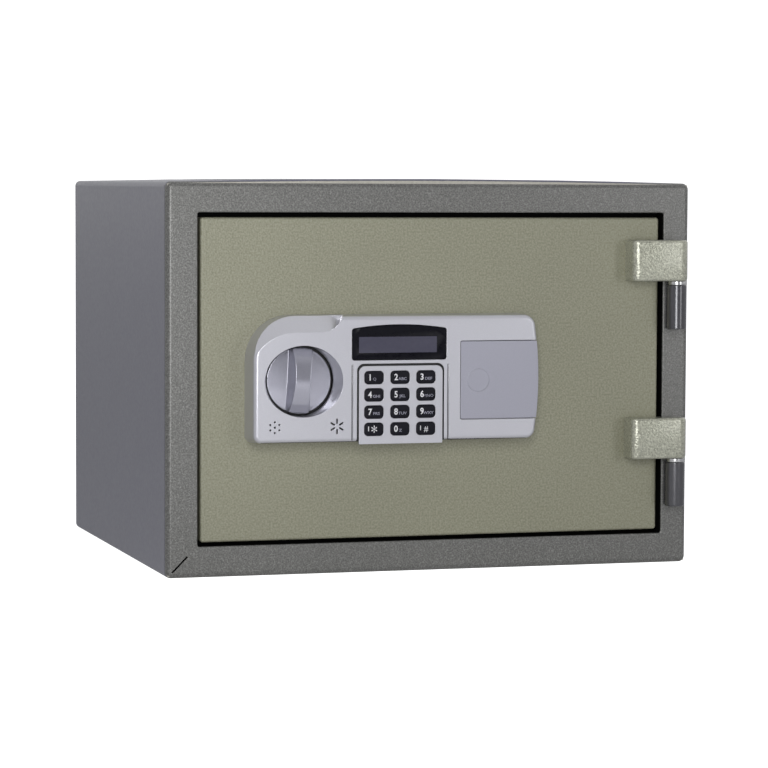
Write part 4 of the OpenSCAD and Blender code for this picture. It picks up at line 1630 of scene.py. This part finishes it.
@dataclass
class Knob(SubAssembly):
    """Turn knob, its spindle and the crank behind the door."""

    body: str = "knob_assembly"
    middle: Tuple[float, float] = KNOB_MIDDLE
    radius: float = 26.0
    disc_front: float = -8.0
    grip_height: float = 12.5
    grip_base: float = 9.2
    grip_draft: float = 0.25
    crown: float = 43.0
    lean: float = 3.4
    dome: float = 260.0
    thickness: float = 4.0
    root: float = 4.4
    stem: float = 7.5

    def grip(self) -> Piece:
        """Makes the grip that runs across the disc, high in its middle and low at its ends.

        Returns:
            The grip, longer than the disc is wide.
        """
        x, z = self.middle
        top = self.disc_front - self.grip_height - 2
        base = self.disc_front + self.root
        reach = self.radius + 4
        sections = []
        for d in (top, base):
            half = self.grip_base + (d - self.disc_front) * self.grip_draft
            left, right, low, high = x - half, x + half, z - reach, z + reach
            sections.append((d, [(left, low), (right, low), (right, high), (left, high)]))
        grip = loft("grip", sections)
        crown_middle = self.disc_front - self.grip_height + self.crown
        start, end = Vector((x - 20, crown_middle, z)), Vector((x + 20, crown_middle, z))
        return combine(grip, rod("crown", start, end, self.crown, 160), "INTERSECT")

    def knob(self) -> Piece:
        """Makes the knob.

        Returns:
            A slightly domed disc with the grip across it.
        """
        x, z = self.middle
        reach = self.radius + 4
        back = self.disc_front + self.thickness
        disc = box("knob_finished", Block(x - reach, x + reach, self.disc_front, back, z - reach, z + reach))
        bpy.ops.object.select_all(action="DESELECT")
        bpy.ops.mesh.primitive_uv_sphere_add(segments=256, ring_count=128, radius=self.dome * MM,
                                             location=spot(x, self.disc_front + self.dome, z))
        combine(disc, settled("dome"), "INTERSECT")
        combine(disc, self.grip(), "UNION")
        combine(disc, through("round", x, z, self.radius, -40, 10, 128), "INTERSECT")
        combine(disc, through("stem", x, z, self.stem, self.disc_front + 3.0, -1.2, 48), "UNION")
        cut(disc, through("spindle hole", x, z, 5.0, self.disc_front + 2.5, 0, 48))
        with editing(disc):
            bpy.ops.mesh.select_all(action="SELECT")
            bpy.ops.transform.rotate(value=-math.radians(self.lean), orient_axis="Y",
                                     center_override=spot(x, 0, z))
        return disc

    def build(self) -> None:
        """Builds the knob and what turns with it."""
        self.fit(soften(tidy(self.knob(), 0.3), 0.6, 3, 30), KNOB_SILVER, "knob_silver", "knob")
        self.paint(GROUND_STEEL, "spindle")
        self.softened("bolt_crank", BRASS, "brass", 0.3)


@dataclass
class Boltwork(SubAssembly):
    """Carrier, bolts and nuts that slide together, and the plunger that blocks them."""

    body: str = "boltwork"

    def build(self) -> None:
        """Builds the boltwork."""
        self.softened("bolt_carrier", ZINC, "zinc_steel", 0.3)
        self.softened("locking_bolts", GROUND_STEEL, "bright_steel", 1.2, 4)
        self.softened("bolt_nuts", ZINC, "zinc_steel", 0.4)
        self.paint(GROUND_STEEL, "solenoid_plunger")


@dataclass
class Studio:
    """Camera, floor and lights."""

    eye: Tuple[float, float, float] = (-0.735, -2.5065, 0.3102)
    turn: float = 16.642
    dip: float = 3.779
    roll: float = 0.249
    lens: float = 143.41
    ambient: float = 0.15
    dark_front: float = 0.1
    bright_sides: float = 0.9
    front_ends: float = -0.85
    sides_start: float = -0.3
    paper: float = 0.35
    white: float = 1.2

    def camera(self) -> None:
        """Sets up the camera."""
        data = bpy.data.cameras.new("camera")
        data.lens = self.lens
        data.sensor_width = 36
        data.dof.use_dof = False
        data.clip_end = 200
        camera = bpy.data.objects.new("camera", data)
        bpy.context.scene.collection.objects.link(camera)
        turn, dip, roll = (math.radians(v) for v in (self.turn, self.dip, self.roll))
        ahead = Vector((math.sin(turn) * math.cos(dip), math.cos(turn) * math.cos(dip), -math.sin(dip)))
        right = Vector((math.cos(turn), -math.sin(turn), 0))
        above = right.cross(ahead)
        side = right * math.cos(roll) + above * math.sin(roll)
        top = above * math.cos(roll) - right * math.sin(roll)
        pose = Matrix((side, top, -ahead)).transposed().to_4x4()
        pose.translation = Vector(self.eye)
        camera.matrix_world = pose
        bpy.context.scene.camera = camera

    def floor(self) -> None:
        """Lays the plain floor."""
        bpy.ops.object.select_all(action="DESELECT")
        bpy.ops.mesh.primitive_plane_add(size=60, location=(0, 0, 0))
        floor = bpy.context.active_object
        floor.name = "floor"
        floor.data.materials.append(self.paper_finish())

    def paper_finish(self) -> bpy.types.Material:
        """Builds the floor's paper, white to the eye and dimmer in reflections.

        Returns:
            The material.
        """
        material = bpy.data.materials.new("floor_paper")
        material.use_nodes = True
        tree = material.node_tree
        tree.nodes.clear()
        matt = add_node(tree, "ShaderNodeBsdfDiffuse", {"Color": linear("e6e6e6")})
        glow = add_node(tree, "ShaderNodeEmission", {"Strength": self.white})
        ray = add_node(tree, "ShaderNodeLightPath")
        seen = add_node(tree, "ShaderNodeMixShader", {0: ray.outputs["Is Camera Ray"]})
        dark = add_node(tree, "ShaderNodeEmission", {"Strength": 0.0})
        paper = add_node(tree, "ShaderNodeMixShader", {0: ray.outputs["Is Glossy Ray"], 1: dark.outputs[0]})
        lit = add_node(tree, "ShaderNodeEmission", {"Strength": self.paper})
        tree.links.new(lit.outputs[0], paper.inputs[2])
        tree.links.new(paper.outputs[0], seen.inputs[1])
        tree.links.new(glow.outputs[0], seen.inputs[2])
        both = add_node(tree, "ShaderNodeAddShader", {0: matt.outputs[0], 1: seen.outputs[0]})
        add_node(tree, "ShaderNodeOutputMaterial", {"Surface": both.outputs[0]})
        return material

    def world(self) -> None:
        """Sets up the white surroundings, softer for the light they give than for the eye."""
        world = bpy.data.worlds.new("studio")
        bpy.context.scene.world = world
        world.use_nodes = True
        tree = world.node_tree
        tree.nodes.clear()
        ray = add_node(tree, "ShaderNodeLightPath")
        way = add_node(tree, "ShaderNodeTexCoord")
        parts = add_node(tree, "ShaderNodeSeparateXYZ", {"Vector": way.outputs["Generated"]})
        walls = add_node(tree, "ShaderNodeMapRange", {"Value": parts.outputs["Y"],
                                                      "From Min": self.front_ends, "From Max": self.sides_start,
                                                      "To Min": self.dark_front,
                                                      "To Max": self.bright_sides})
        soft = add_node(tree, "ShaderNodeBackground", {"Color": linear("eceeff"), "Strength": self.ambient})
        seen = add_node(tree, "ShaderNodeBackground", {"Color": linear("ffffff"),
                                                       "Strength": walls.outputs[0]})
        white = add_node(tree, "ShaderNodeBackground", {"Color": linear("ffffff"), "Strength": self.white})
        gloss = add_node(tree, "ShaderNodeMixShader", {0: ray.outputs["Is Glossy Ray"], 1: soft.outputs[0],
                                                       2: seen.outputs[0]})
        mix = add_node(tree, "ShaderNodeMixShader", {0: ray.outputs["Is Camera Ray"], 1: gloss.outputs[0],
                                                     2: white.outputs[0]})
        add_node(tree, "ShaderNodeOutputWorld", {"Surface": mix.outputs[0]})

    def lamp(self, name: str, place: Tuple[float, float, float], aim: Tuple[float, float, float],
             size: Tuple[float, float], power: float) -> None:
        """Hangs a soft light.

        Args:
            name: Name of the light.
            place: Where it hangs, in metres.
            aim: What it points at, in metres.
            size: Width and height of its face, in metres.
            power: Its power in watts.
        """
        data = bpy.data.lights.new(name, "AREA")
        data.shape = "RECTANGLE"
        data.size, data.size_y = size
        data.energy = power
        light = bpy.data.objects.new(name, data)
        bpy.context.scene.collection.objects.link(light)
        light.visible_camera = False
        way = Vector(aim) - Vector(place)
        turned = way.to_track_quat("-Z", "Y").to_matrix().to_4x4()
        light.matrix_world = Matrix.Translation(Vector(place)) @ turned

    def build(self) -> None:
        """Builds the studio."""
        bpy.context.scene.view_settings.view_transform = "Standard"
        self.camera()
        self.floor()
        self.world()
        self.lamp("key", (-0.34, -1.35, 0.42), (-0.02, -0.1, 0.17), (0.4, 0.8), 7.6)
        self.lamp("window", (1.15, -2.0, 0.5), (0, -0.1, 0.17), (0.5, 0.9), 5)


def main() -> None:
    """Builds the safe and its studio."""
    logging.basicConfig(level=logging.INFO, format="%(message)s")
    for group in (Studio(), Cabinet(), Hinges(), Door(), LockPanel(), Knob(), Boltwork()):
        LOG.info("building %s", type(group).__name__)
        group.build()


if __name__ == "__main__":
    main()
